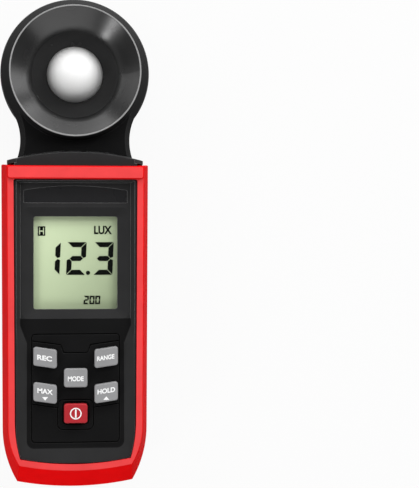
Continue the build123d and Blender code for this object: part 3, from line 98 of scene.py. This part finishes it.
# Painted highlights along the case's edges, dimmer on the keypad's floor
PAINTED_CASE_EDGE_HIGHLIGHT = (0.24, 0.24, 0.24)
PAINTED_KEYPAD_EDGE_HIGHLIGHT = (0.03, 0.03, 0.03)

# Lit and shaded copies of one red, chosen by how a face turns: painted sheen on top faces, painted deep
# red on slopes, painted shade on sides
SHEEN_PAINTED_TOP_RED = (0.785, 0.062, 0.064)
DEEP_PAINTED_SLOPE_RED = (0.8, 0.004, 0.005)
SHADE_PAINTED_SIDE_RED = (0.6, 0.008, 0.009)

# Painted light and shade across the display: lighter at the upper left, darker at the lower right
PAINTED_LIT_DISPLAY = (0.78, 0.88, 0.60)
PAINTED_SHADED_DISPLAY = (0.34, 0.395, 0.257)


def new_material(name):
    """A material, its node tree and its Principled shader."""
    material = bpy.data.materials.new(name)
    material.use_nodes = True
    return material, material.node_tree, material.node_tree.nodes["Principled BSDF"]


def add_node(tree, kind, settings=None, inputs=None):
    """One node with its settings, and with values or links for its inputs."""
    node = tree.nodes.new(kind)
    for name, value in (settings or {}).items():
        setattr(node, name, value)
    for name, value in (inputs or {}).items():
        if isinstance(value, bpy.types.NodeSocket):
            tree.links.new(value, node.inputs[name])
        else:
            node.inputs[name].default_value = value
    return node


def worked_out(tree, operation, *values):
    """Result of one operation on numbers."""
    settings = {"operation": operation}
    return add_node(tree, "ShaderNodeMath", settings, dict(enumerate(values))).outputs["Value"]


def turned(tree, operation, *values, result="Vector"):
    """Result of one operation on vectors."""
    settings = {"operation": operation}
    return add_node(tree, "ShaderNodeVectorMath", settings, dict(enumerate(values))).outputs[result]


def mapped(tree, value, start, end, low=0.0, high=1.0):
    """A value that goes from low to high while another goes from start to end."""
    limits = {"From Min": start, "From Max": end, "To Min": low, "To Max": high}
    return add_node(tree, "ShaderNodeMapRange", inputs={"Value": value, **limits}).outputs["Result"]


def own_place(tree, kind="Object"):
    """The surface's place in the piece's own space, or its normal there."""
    return add_node(tree, "ShaderNodeTexCoord").outputs[kind]


def own_axes(tree, kind="Object"):
    """That place or normal, taken apart."""
    return add_node(tree, "ShaderNodeSeparateXYZ", inputs={"Vector": own_place(tree, kind)}).outputs


def noise(tree, size, detail=3.0):
    """Noise whose features are about size metres across."""
    facts = {"Vector": own_place(tree), "Scale": 1 / size, "Detail": detail, "Roughness": 0.55}
    return add_node(tree, "ShaderNodeTexNoise", inputs=facts).outputs["Fac"]


def ramp(tree, factor, dark, light, low=NOISE_LOW, high=NOISE_HIGH):
    """A colour that goes from dark to light."""
    node = add_node(tree, "ShaderNodeValToRGB", inputs={"Fac": factor})
    for element, place, colour in zip(node.color_ramp.elements, (low, high), (dark, light)):
        element.position = place
        element.color = (*colour, 1)
    return node.outputs["Color"]


def spread(tree, factor, low, high):
    """A value between low and high that follows a noise."""
    return mapped(tree, factor, NOISE_LOW, NOISE_HIGH, low, high)


def shaded(tree, colour, shade=SLIGHT):
    """A colour with clouds in it."""
    dark = [value * (1 - shade) for value in colour]
    light = [min(1.0, value * (1 + shade)) for value in colour]
    return ramp(tree, noise(tree, CLOUD_SIZE), dark, light)


def blend(tree, factor, low, high):
    """Low where the factor is 0, high where it is 1."""
    mix = add_node(tree, "ShaderNodeMix", {"data_type": "RGBA"}, {0: factor, 6: low, 7: high})
    return mix.outputs[2]


def moulded(name, colour, shade, roughness, grain, grain_depth, index):
    """Moulded plastic or rubber: fine grain, slight shade and gloss changes, and softened edges."""
    material, tree, shader = new_material(name)
    tree.links.new(shaded(tree, colour, shade), shader.inputs["Base Color"])
    gloss = spread(tree, noise(tree, CLOUD_SIZE), roughness - 0.04, roughness + 0.04)
    tree.links.new(gloss, shader.inputs["Roughness"])
    softened = add_node(tree, "ShaderNodeBevel", {"samples": 4}, {"Radius": 0.0002})
    bump = add_node(
        tree,
        "ShaderNodeBump",
        inputs={
            "Height": noise(tree, grain, detail=2.0),
            "Strength": 0.35,
            "Distance": grain_depth,
            "Normal": softened.outputs["Normal"],
        },
    )
    tree.links.new(bump.outputs["Normal"], shader.inputs["Normal"])
    shader.inputs["IOR"].default_value = index
    return material


def softened_edges_and_highlight_share(tree):
    """The normal with softened edges, and a factor that is 1 along them, which places painted
    highlights.
    """
    softened = add_node(tree, "ShaderNodeBevel", {"samples": 6}, {"Radius": EDGE_RADIUS})
    normal = softened.outputs["Normal"]
    flat = add_node(tree, "ShaderNodeNewGeometry").outputs["True Normal"]
    likeness = turned(tree, "DOT_PRODUCT", normal, flat, result="Value")
    return normal, mapped(tree, likeness, 0.99, 0.8)


def below(tree, value, limit):
    """1 where a value is less than its limit."""
    return worked_out(tree, "LESS_THAN", value, limit)


def case_black():
    """Black plastic of the case, darker on the keypad's floor, with a painted highlight along its
    edges.
    """
    material, tree, shader = new_material("black_plastic")
    axes = own_axes(tree)
    at_floor = worked_out(
        tree,
        "SUBTRACT",
        below(tree, axes["Z"], KEYPAD_FLOOR_Z),
        below(tree, axes["Z"], KEYPAD_LOW_Z),
    )
    keypad = worked_out(tree, "MULTIPLY", below(tree, axes["Y"], KEYPAD_TOP_Y), at_floor)
    body = blend(tree, keypad, shaded(tree, CASE_BLACK), shaded(tree, KEYPAD_BLACK))
    # Painted highlight along the edges: a grey that is dimmer on the keypad's floor
    painted_edge_highlight = blend(tree, keypad, shaded(tree, PAINTED_CASE_EDGE_HIGHLIGHT), shaded(tree, PAINTED_KEYPAD_EDGE_HIGHLIGHT))
    normal, edge_highlight_share = softened_edges_and_highlight_share(tree)
    tree.links.new(normal, shader.inputs["Normal"])
    tree.links.new(blend(tree, edge_highlight_share, body, painted_edge_highlight), shader.inputs["Base Color"])
    tree.links.new(spread(tree, noise(tree, 0.0004), 0.3, 0.38), shader.inputs["Roughness"])
    shader.inputs["IOR"].default_value = 1.05
    return material


def funnel_black():
    """Black plastic of the head, with a painted highlight on the rim's crest and along its edges;
    inside the rim its wall has fine turned steps that face up.
    """
    material, tree, shader = new_material("funnel_black")
    low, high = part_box("diffuser_dome")
    middle = ((low.x + high.x) / 2, (low.y + high.y) / 2, 0)
    outward = turned(tree, "SUBTRACT", own_place(tree), middle)
    level = turned(tree, "MULTIPLY", outward, (1, 1, 0))
    reach = turned(tree, "LENGTH", level, result="Value")
    inside = below(tree, reach, FUNNEL_RADIUS)
    at_floor, crest_highlight_reach = below(tree, reach, DISH_FLOOR_RADIUS), below(tree, reach, CREST_RADIUS)
    inner = blend(tree, at_floor, shaded(tree, FUNNEL_WALL_BLACK), shaded(tree, DISH_FLOOR_BLACK))
    # The grey ring between the funnel and the crest is a painted highlight
    outer = blend(tree, crest_highlight_reach, shaded(tree, HEAD_BLACK), shaded(tree, PAINTED_CREST_HIGHLIGHT))
    body = blend(tree, inside, outer, inner)
    normal, edge_highlight_share = softened_edges_and_highlight_share(tree)
    # Painted highlight along the head's edges
    painted_edge_highlight = shaded(tree, PAINTED_HEAD_EDGE_HIGHLIGHT)
    tree.links.new(blend(tree, edge_highlight_share, body, painted_edge_highlight), shader.inputs["Base Color"])
    up = add_node(
        tree,
        "ShaderNodeVectorTransform",
        {"vector_type": "VECTOR", "convert_from": "OBJECT", "convert_to": "WORLD"},
        {"Vector": (0, 0, STEP_TILT)},
    )
    tilt = turned(tree, "MULTIPLY", up.outputs["Vector"], inside)
    steps = turned(tree, "NORMALIZE", turned(tree, "ADD", normal, tilt))
    tree.links.new(steps, shader.inputs["Normal"])
    tree.links.new(spread(tree, noise(tree, CLOUD_SIZE), 0.24, 0.28), shader.inputs["Roughness"])
    gloss = worked_out(tree, "MULTIPLY_ADD", inside, FUNNEL_GLOSS, HEAD_GLOSS)
    tree.links.new(gloss, shader.inputs["Specular IOR Level"])
    shader.inputs["IOR"].default_value = 1.45
    return material


def frame_red():
    """Red plastic of the frame, with painted sheen where it faces up, painted deep red without sheen on
    its slopes and painted shade on its sides.
    """
    material = moulded("red_plastic", SHEEN_PAINTED_TOP_RED, 0.02, 0.42, 0.0003, 0.000005, 1.015)
    tree = material.node_tree
    shader = tree.nodes["Principled BSDF"]
    # Painted sheen and shade follow how far the surface faces up
    upward = own_axes(tree, "Normal")["Z"]
    slope = blend(tree, mapped(tree, upward, 0.2, 0.5), shaded(tree, SHADE_PAINTED_SIDE_RED), shaded(tree, DEEP_PAINTED_SLOPE_RED))
    body = blend(tree, mapped(tree, upward, 0.86, 0.98), slope, shaded(tree, SHEEN_PAINTED_TOP_RED))
    tree.links.new(body, shader.inputs["Base Color"])
    return material


def metal(name, colour, roughness, scratch):
    """Turned or drawn metal with fine marks along one way."""
    material, tree, shader = new_material(name)
    facts = {"Vector": own_place(tree), "Scale": (1 / scratch, 1 / scratch, 0.05 / scratch)}
    stretch = add_node(tree, "ShaderNodeMapping", inputs=facts).outputs["Vector"]
    facts = {"Vector": stretch, "Scale": 1.0, "Detail": 4.0}
    marks = add_node(tree, "ShaderNodeTexNoise", inputs=facts).outputs["Fac"]
    dark = [value * 0.85 for value in colour]
    tree.links.new(ramp(tree, marks, dark, colour), shader.inputs["Base Color"])
    gloss = spread(tree, marks, roughness - 0.06, roughness + 0.08)
    tree.links.new(gloss, shader.inputs["Roughness"])
    shader.inputs["Metallic"].default_value = 1.0
    return material


def display_glass():
    """Reflective display: grey-green, with painted light towards the upper left and painted shade
    towards the lower right.
    """
    material, tree, shader = new_material("display_green")
    axes = own_axes(tree)
    low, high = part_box("lcd_glass")
    across = mapped(tree, axes["X"], low.x, high.x)
    along = mapped(tree, axes["Y"], high.y, low.y)
    share = worked_out(tree, "MULTIPLY", worked_out(tree, "ADD", across, along), 0.5)
    painted_light_tint = ramp(tree, share, PAINTED_LIT_DISPLAY, PAINTED_SHADED_DISPLAY, 0.0, 1.0)
    tree.links.new(painted_light_tint, shader.inputs["Base Color"])
    shader.inputs["Roughness"].default_value = 0.4
    shader.inputs["IOR"].default_value = 1.3
    return material


def clear_window():
    """Clear acrylic: lets the display through, with a faint gloss."""
    material, tree, shader = new_material("window_clear")
    tree.nodes.remove(shader)
    clear = add_node(tree, "ShaderNodeBsdfTransparent", inputs={"Color": (0.97, 0.98, 0.97, 1)})
    gloss = add_node(tree, "ShaderNodeBsdfAnisotropic", inputs={"Roughness": 0.05})
    edge = add_node(tree, "ShaderNodeFresnel", inputs={"IOR": 1.2})
    side = add_node(tree, "ShaderNodeNewGeometry")
    outside = worked_out(tree, "SUBTRACT", 1.0, side.outputs["Backfacing"])
    share = worked_out(tree, "MULTIPLY", edge.outputs["Fac"], outside)
    mix = add_node(
        tree,
        "ShaderNodeMixShader",
        inputs={0: share, 1: clear.outputs["BSDF"], 2: gloss.outputs["BSDF"]},
    )
    tree.links.new(mix.outputs["Shader"], tree.nodes["Material Output"].inputs["Surface"])
    return material


def speckled(name, grain, dark, light, roughness):
    """A plain finish with a fine speckle, as a material with its shader."""
    material, tree, shader = new_material(name)
    tree.links.new(ramp(tree, noise(tree, grain), dark, light), shader.inputs["Base Color"])
    shader.inputs["Roughness"].default_value = roughness
    return material, shader


def opal_dome():
    """Opal diffuser: white, satin, with light spread inside it."""
    material, shader = speckled("dome_white", 0.0004, (0.92, 0.92, 0.91), (0.96, 0.96, 0.95), 0.5)
    tree = material.node_tree
    tree.links.new(spread(tree, noise(tree, 0.0004), 0.5, 0.6), shader.inputs["Roughness"])
    shader.inputs["Subsurface Weight"].default_value = 0.35
    shader.inputs["Subsurface Radius"].default_value = (0.003, 0.003, 0.003)
    shader.inputs["Subsurface Scale"].default_value = 1.0
    return material


# Each moulded finish: colour, change of shade, roughness, grain, grain's depth and index
MOULDED = {
    "key_grey": ((0.28, 0.28, 0.285), 0.04, 0.5, 0.0004, 0.00002, 1.35),
    "key_red": ((0.42, 0.022, 0.03), 0.04, 0.45, 0.0004, 0.00002, 1.3),
    "plate_black": ((0.011, 0.011, 0.012), 0.05, 0.3, 0.0005, 0.000005, 1.4),
    "holder_white": ((0.75, 0.75, 0.72), 0.03, 0.5, 0.0004, 0.00001, 1.45),
    "strip_rubber": ((0.6, 0.3, 0.34), 0.05, 0.6, 0.0004, 0.00001, 1.4),
    "board_green": ((0.02, 0.16, 0.06), 0.12, 0.35, 0.0006, 0.00001, 1.5),
    "part_black": ((0.02, 0.02, 0.02), 0.1, 0.5, 0.0004, 0.00001, 1.45),
    "cell_skin": ((0.06, 0.08, 0.12), 0.05, 0.3, 0.002, 0.00001, 1.5),
    "bush_plastic": ((0.8, 0.8, 0.76), 0.03, 0.4, 0.0004, 0.00001, 1.45),
    "filter_glass": ((0.1, 0.28, 0.14), 0.03, 0.1, 0.002, 0.000001, 1.5),
    "lead_black": ((0.02, 0.02, 0.02), 0.1, 0.5, 0.0005, 0.00002, 1.4),
}
# Each metal: colour, roughness and the width of its marks
METALS = {
    "contact_steel": ((0.62, 0.61, 0.58), 0.28, 0.0004),
    "screw_steel": ((0.06, 0.06, 0.065), 0.35, 0.0003),
    "shaft_alloy": ((0.5, 0.5, 0.5), 0.42, 0.0005),
    "diode_case": ((0.6, 0.6, 0.57), 0.3, 0.0004),
}
MATERIALS = {
    "black_plastic": case_black(),
    "funnel_black": funnel_black(),
    "red_plastic": frame_red(),
    "display_green": display_glass(),
    "window_clear": clear_window(),
    "dome_white": opal_dome(),
}
for slot_name, finish in MOULDED.items():
    MATERIALS[slot_name] = moulded(slot_name, *finish)
for slot_name, finish in METALS.items():
    MATERIALS[slot_name] = metal(slot_name, *finish)
for subpart in frame["record"]["subparts"]:
    node = frame["nodes"][subpart["node"]]
    node.data.materials.clear()
    node.data.materials.append(MATERIALS[subpart["material_slot"]])


# Thin printed pieces, as real meshes
PRINT, _ = speckled("print_white", 0.0003, (0.88, 0.88, 0.88), (0.94, 0.94, 0.94), 0.5)
SEGMENT, segment_shader = speckled(
    "segment_black", 0.0005, (0.002, 0.0025, 0.002), (0.004, 0.005, 0.004), 0.35
)
segment_shader.inputs["IOR"].default_value = 1.2
PRINT_SINK = 0.00004
PRINT_RISE = 0.00003
SEGMENT_RISE = 0.00008
WORD_WEIGHT = 0.035


def finish_piece(name, work, material, body):
    """A mesh object from a bmesh, riding on its body."""
    bmesh.ops.recalc_face_normals(work, faces=work.faces)
    mesh = bpy.data.meshes.new(name)
    work.to_mesh(mesh)
    work.free()
    mesh.materials.append(material)
    piece = bpy.data.objects.new(name, mesh)
    bpy.context.scene.collection.objects.link(piece)
    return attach(piece, body)


def add_prism(work, points, low, high):
    """A closed prism over one outline, given anticlockwise."""
    under = [work.verts.new((x, y, low)) for x, y in points]
    over = [work.verts.new((x, y, high)) for x, y in points]
    work.faces.new(over)
    work.faces.new(list(reversed(under)))
    for index in range(len(points)):
        after = (index + 1) % len(points)
        work.faces.new((under[index], under[after], over[after], over[index]))


def add_ring(work, outer, inner, low, high):
    """A closed ring between two outlines with as many points each."""
    levels = [
        [work.verts.new((x, y, z)) for x, y in points]
        for points, z in ((outer, low), (inner, low), (inner, high), (outer, high))
    ]
    for index in range(len(outer)):
        after = (index + 1) % len(outer)
        for level in range(len(levels)):
            one, two = levels[level], levels[(level + 1) % len(levels)]
            work.faces.new((one[index], two[index], two[after], one[after]))


def circle_points(centre, radius, count):
    """Points of a circle, anticlockwise."""
    return [
        (
            centre[0] + radius * math.cos(2 * math.pi * step / count),
            centre[1] + radius * math.sin(2 * math.pi * step / count),
        )
        for step in range(count)
    ]


def add_words(work, words, centre, width, height, lean, low, high):
    """Words in the built-in typeface, fitted to a width and a height, as closed prisms."""
    curve = bpy.data.curves.new("words", "FONT")
    curve.body = words
    curve.size = 1.0
    curve.offset = WORD_WEIGHT
    curve.extrude = 0.5
    curve.resolution_u = 6
    carrier = bpy.data.objects.new("words", curve)
    bpy.context.scene.collection.objects.link(carrier)
    mesh = bpy.data.meshes.new_from_object(carrier)
    bpy.data.objects.remove(carrier)
    xs = [vertex.co.x for vertex in mesh.vertices]
    ys = [vertex.co.y for vertex in mesh.vertices]
    middle_x = (min(xs) + max(xs)) / 2
    middle_y = (min(ys) + max(ys)) / 2
    scale_x = width / (max(xs) - min(xs))
    scale_y = height / (max(ys) - min(ys))
    for vertex in mesh.vertices:
        x = (vertex.co.x - middle_x) * scale_x
        y = (vertex.co.y - middle_y) * scale_y
        z = high if vertex.co.z > 0 else low
        vertex.co = (centre[0] + x, centre[1] + y + lean * x, z)
    work.from_mesh(mesh)
    bpy.data.meshes.remove(mesh)
    bmesh.ops.remove_doubles(work, verts=work.verts, dist=1e-7)


# Key legends: words, their width and height, and their place from the key's centre
LEGENDS = {
    "rec": ("REC", 0.0056, 0.00195, (-0.0002, -0.0001)),
    "range": ("RANGE", 0.0066, 0.0018, (-0.0002, -0.0001)),
    "mode": ("MODE", 0.0060, 0.0019, (0.0, -0.0003)),
    "max": ("MAX", 0.0058, 0.0019, (0.0, 0.0007)),
    "hold": ("HOLD", 0.0067, 0.0019, (0.0, 0.0007)),
}
KEY_SLOPES = {"rec": -0.149, "max": -0.149, "range": 0.149, "hold": 0.149, "mode": 0.0, "power": 0.0}
ARROW_HALF = 0.00115
ARROW_RISE = 0.00135
ARROW_DROP = 0.0021
POWER_RING_RADIUS = 0.0022
POWER_RING_WIDTH = 0.00042
POWER_BAR_HALF = 0.00028
POWER_BAR_RISE = 0.0016


def key_top(key):
    """Centre and height of a key's top."""
    low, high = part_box(f"key_{key}")
    return (low.x + high.x) / 2, (low.y + high.y) / 2, high.z


def add_legends():
    """The words and arrows on the keys."""
    for key, (words, width, height, aside) in LEGENDS.items():
        x, y, top = key_top(key)
        low, high = top - PRINT_SINK, top + PRINT_RISE
        work = bmesh.new()
        slope = KEY_SLOPES[key]
        centre = (x + aside[0], y + aside[1])
        add_words(work, words, centre, width, height, slope, low, high)
        if key in ("max", "hold"):
            way = -1 if key == "max" else 1
            middle = y - ARROW_DROP
            points = [
                (x - way * ARROW_HALF, middle - way * ARROW_RISE / 2),
                (x + way * ARROW_HALF, middle - way * ARROW_RISE / 2),
                (x, middle + way * ARROW_RISE / 2),
            ]
            add_prism(work, points, low, high)
        finish_piece(f"legend_{key}", work, PRINT, f"{key}_key")


def add_power_symbol():
    """A ring with an upright bar, on the power key."""
    x, y, top = key_top("power")
    low, high = top - PRINT_SINK, top + PRINT_RISE
    work = bmesh.new()
    outer = circle_points((x, y), POWER_RING_RADIUS, 48)
    inner = circle_points((x, y), POWER_RING_RADIUS - POWER_RING_WIDTH, 48)
    add_ring(work, outer, inner, low, high)
    bar = [
        (x - POWER_BAR_HALF, y - POWER_BAR_RISE),
        (x + POWER_BAR_HALF, y - POWER_BAR_RISE),
        (x + POWER_BAR_HALF, y + POWER_BAR_RISE),
        (x - POWER_BAR_HALF, y + POWER_BAR_RISE),
    ]
    add_prism(work, bar, low, high)
    finish_piece("symbol_power", work, PRINT, "power_key")


# Display segments
# Which segments each figure lights
LIT = {"1": "bc", "2": "abged", "3": "abgcd", "0": "abcdef"}
DIGIT_LEAN = 0.045


def segment_shapes(width, height, stroke, gap):
    """Outlines of the seven segments about the digit's centre, before it leans."""
    half_w, half_h, half_t = width / 2, height / 2, stroke / 2
    cut = gap / 2
    flat = {
        "a": [
            (-half_w + cut, half_h),
            (-half_w + stroke + cut, half_h - stroke),
            (half_w - stroke - cut, half_h - stroke),
            (half_w - cut, half_h),
        ],
        "d": [
            (-half_w + cut, -half_h),
            (half_w - cut, -half_h),
            (half_w - stroke - cut, -half_h + stroke),
            (-half_w + stroke + cut, -half_h + stroke),
        ],
        "g": [
            (-half_w + half_t + cut, 0),
            (-half_w + stroke + cut, -half_t),
            (half_w - stroke - cut, -half_t),
            (half_w - half_t - cut, 0),
            (half_w - stroke - cut, half_t),
            (-half_w + stroke + cut, half_t),
        ],
    }
    upright = [
        (half_w, cut + half_t / 2),
        (half_w, half_h - cut),
        (half_w - stroke, half_h - stroke - cut),
        (half_w - stroke, half_t + cut),
        (half_w - half_t, cut),
    ]
    flat["b"] = upright
    flat["c"] = [(x, -y) for x, y in reversed(upright)]
    flat["f"] = [(-x, y) for x, y in reversed(upright)]
    flat["e"] = [(-x, -y) for x, y in upright]
    return flat


def add_digit(work, figure, centre, size, low, high):
    """One figure, made of its lit segments."""
    width, height, stroke, gap = size
    shapes = segment_shapes(width, height, stroke, gap)
    for letter in LIT[figure]:
        points = [(centre[0] + x + DIGIT_LEAN * y, centre[1] + y) for x, y in shapes[letter]]
        add_prism(work, points, low, high)


BIG_DIGIT = (0.0073, 0.0125, 0.0019, 0.00035)
BIG_DIGITS = {"1": -0.0095, "2": 0.00035, "3": 0.0107}
BIG_DIGIT_Y = 0.0016
SMALL_DIGIT = (0.0019, 0.0032, 0.00058, 0.00004)
SMALL_DIGITS = [("2", 0.0041), ("0", 0.0063), ("0", 0.0085)]
SMALL_DIGIT_Y = -0.0143
POINT_PLACE = (0.0048, -0.0039)
POINT_RADIUS = 0.0008
UNIT_PLACE = (0.0105, 0.0125)
UNIT_WIDTH = 0.0068
UNIT_HEIGHT = 0.0032
HOLD_MARK_PLACE = (-0.0129, 0.0121)
HOLD_MARK_HALF_X = 0.0014
HOLD_MARK_HALF_Y = 0.0018
HOLD_MARK_EDGE = 0.00045
HOLD_MARK_BLOCK = 0.00055


def add_display():
    """The reading, its unit and the small marks on the display's top."""
    glass_low, glass_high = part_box("lcd_glass")
    x, y = (glass_low.x + glass_high.x) / 2, (glass_low.y + glass_high.y) / 2
    low, high = glass_high.z, glass_high.z + SEGMENT_RISE
    work = bmesh.new()
    for figure, aside in BIG_DIGITS.items():
        add_digit(work, figure, (x + aside, y + BIG_DIGIT_Y), BIG_DIGIT, low, high)
    for figure, aside in SMALL_DIGITS:
        add_digit(work, figure, (x + aside, y + SMALL_DIGIT_Y), SMALL_DIGIT, low, high)
    point = (x + POINT_PLACE[0], y + POINT_PLACE[1])
    add_prism(work, circle_points(point, POINT_RADIUS, 24), low, high)
    finish_piece("display_figures", work, SEGMENT, "case")

    work = bmesh.new()
    unit = (x + UNIT_PLACE[0], y + UNIT_PLACE[1])
    add_words(work, "LUX", unit, UNIT_WIDTH, UNIT_HEIGHT, 0, low, high)
    finish_piece("display_unit", work, SEGMENT, "case")

    work = bmesh.new()
    mark = (x + HOLD_MARK_PLACE[0], y + HOLD_MARK_PLACE[1])

    def corners(half_x, half_y, centre=mark):
        return [
            (centre[0] - half_x, centre[1] - half_y),
            (centre[0] + half_x, centre[1] - half_y),
            (centre[0] + half_x, centre[1] + half_y),
            (centre[0] - half_x, centre[1] + half_y),
        ]

    inner_x = HOLD_MARK_HALF_X - HOLD_MARK_EDGE
    inner_y = HOLD_MARK_HALF_Y - HOLD_MARK_EDGE
    outer = corners(HOLD_MARK_HALF_X, HOLD_MARK_HALF_Y)
    add_ring(work, outer, corners(inner_x, inner_y), low, high)
    for way in (-1, 1):
        centre = (mark[0], mark[1] + way * (inner_y - HOLD_MARK_BLOCK))
        add_prism(work, corners(HOLD_MARK_BLOCK, HOLD_MARK_BLOCK, centre), low, high)
    finish_piece("display_hold_mark", work, SEGMENT, "case")


add_legends()
add_power_symbol()
add_display()


# Floor, backdrop, world and lamps
FLOOR_RADIUS = 3.0
BACKDROP_RISE = 0.65
BACKDROP_SIDES = 64
GLOW_SHARE = 0.93
SKY_LEVEL = 0.22


def seen_rays(tree):
    """1 for the rays that show a background: camera, glossy and transmission rays."""
    path = add_node(tree, "ShaderNodeLightPath")
    seen = path.outputs["Is Camera Ray"]
    for name in ("Is Glossy Ray", "Is Transmission Ray"):
        seen = worked_out(tree, "MAXIMUM", seen, path.outputs[name])
    return seen


def add_floor():
    """White floor that keeps the meter's shadow, and a white backdrop all round."""
    work = bmesh.new()
    ring = circle_points((0, 0), FLOOR_RADIUS, BACKDROP_SIDES)
    low = [work.verts.new((x, y, 0)) for x, y in ring]
    high = [work.verts.new((x, y, BACKDROP_RISE)) for x, y in ring]
    work.faces.new(low)
    for index in range(BACKDROP_SIDES):
        after = (index + 1) % BACKDROP_SIDES
        work.faces.new((low[after], low[index], high[index], high[after]))
    mesh = bpy.data.meshes.new("floor")
    work.to_mesh(mesh)
    work.free()
    floor = bpy.data.objects.new("floor", mesh)
    bpy.context.scene.collection.objects.link(floor)
    material, tree, shader = new_material("floor_white")
    tree.nodes.remove(shader)
    matt = add_node(tree, "ShaderNodeBsdfDiffuse", inputs={"Color": (0.6, 0.6, 0.6, 1)})
    glow = add_node(tree, "ShaderNodeEmission", inputs={"Color": (1, 1, 1, 1), "Strength": 1.0})
    share = worked_out(tree, "MULTIPLY", seen_rays(tree), GLOW_SHARE)
    mix = add_node(
        tree,
        "ShaderNodeMixShader",
        inputs={0: share, 1: matt.outputs["BSDF"], 2: glow.outputs["Emission"]},
    )
    tree.links.new(mix.outputs["Shader"], tree.nodes["Material Output"].inputs["Surface"])
    mesh.materials.append(material)


def add_world():
    """A low even light from the sky."""
    world = bpy.data.worlds.new("world")
    world.use_nodes = True
    bpy.context.scene.world = world
    back = world.node_tree.nodes["Background"]
    back.inputs["Color"].default_value = (1, 1, 1, 1)
    back.inputs["Strength"].default_value = SKY_LEVEL


# Soft boxes: azimuth and elevation in degrees, distance, width, height, and how bright white turns
# when it faces the lamp
LAMPS = {
    "top_lamp": (82, 24, 1.0, 1.5, 0.3, 0.95),
    "upper_lamp": (92, 52, 1.0, 0.9, 0.35, 0.12),
    "streak_lamp": (45, 32, 1.0, 0.08, 0.4, 0.26),
    "right_lamp": (22, 22, 1.0, 0.35, 0.3, 0.2),
    "left_lamp": (152, 30, 1.0, 0.5, 0.35, 0.24),
    "side_lamp": (180, 46, 1.0, 0.4, 0.4, 0.02),
    "strip_lamp": (225, 26, 1.0, 0.08, 0.4, 0.28),
    "foot_lamp": (285, 26, 1.0, 1.5, 0.3, 0.37),
}
LAMP_AIM = (0.0, 0.0, 0.015)


def add_lamp(name, azimuth, elevation, distance, width, height, level):
    """A soft box that faces the meter."""
    data = bpy.data.lights.new(name, "AREA")
    data.shape = "RECTANGLE"
    data.size, data.size_y = width, height
    data.energy = level * (math.pi * distance) ** 2
    turn, rise = math.radians(azimuth), math.radians(elevation)
    way = Vector((math.cos(rise) * math.cos(turn), math.cos(rise) * math.sin(turn), math.sin(rise)))
    lamp = bpy.data.objects.new(name, data)
    bpy.context.scene.collection.objects.link(lamp)
    lamp.location = Vector(LAMP_AIM) + distance * way
    lamp.rotation_euler = (-way).to_track_quat("-Z", "Y").to_euler()


add_floor()
add_world()
for lamp_name, facts in LAMPS.items():
    add_lamp(lamp_name, *facts)

bpy.context.scene.view_settings.view_transform = "Standard"
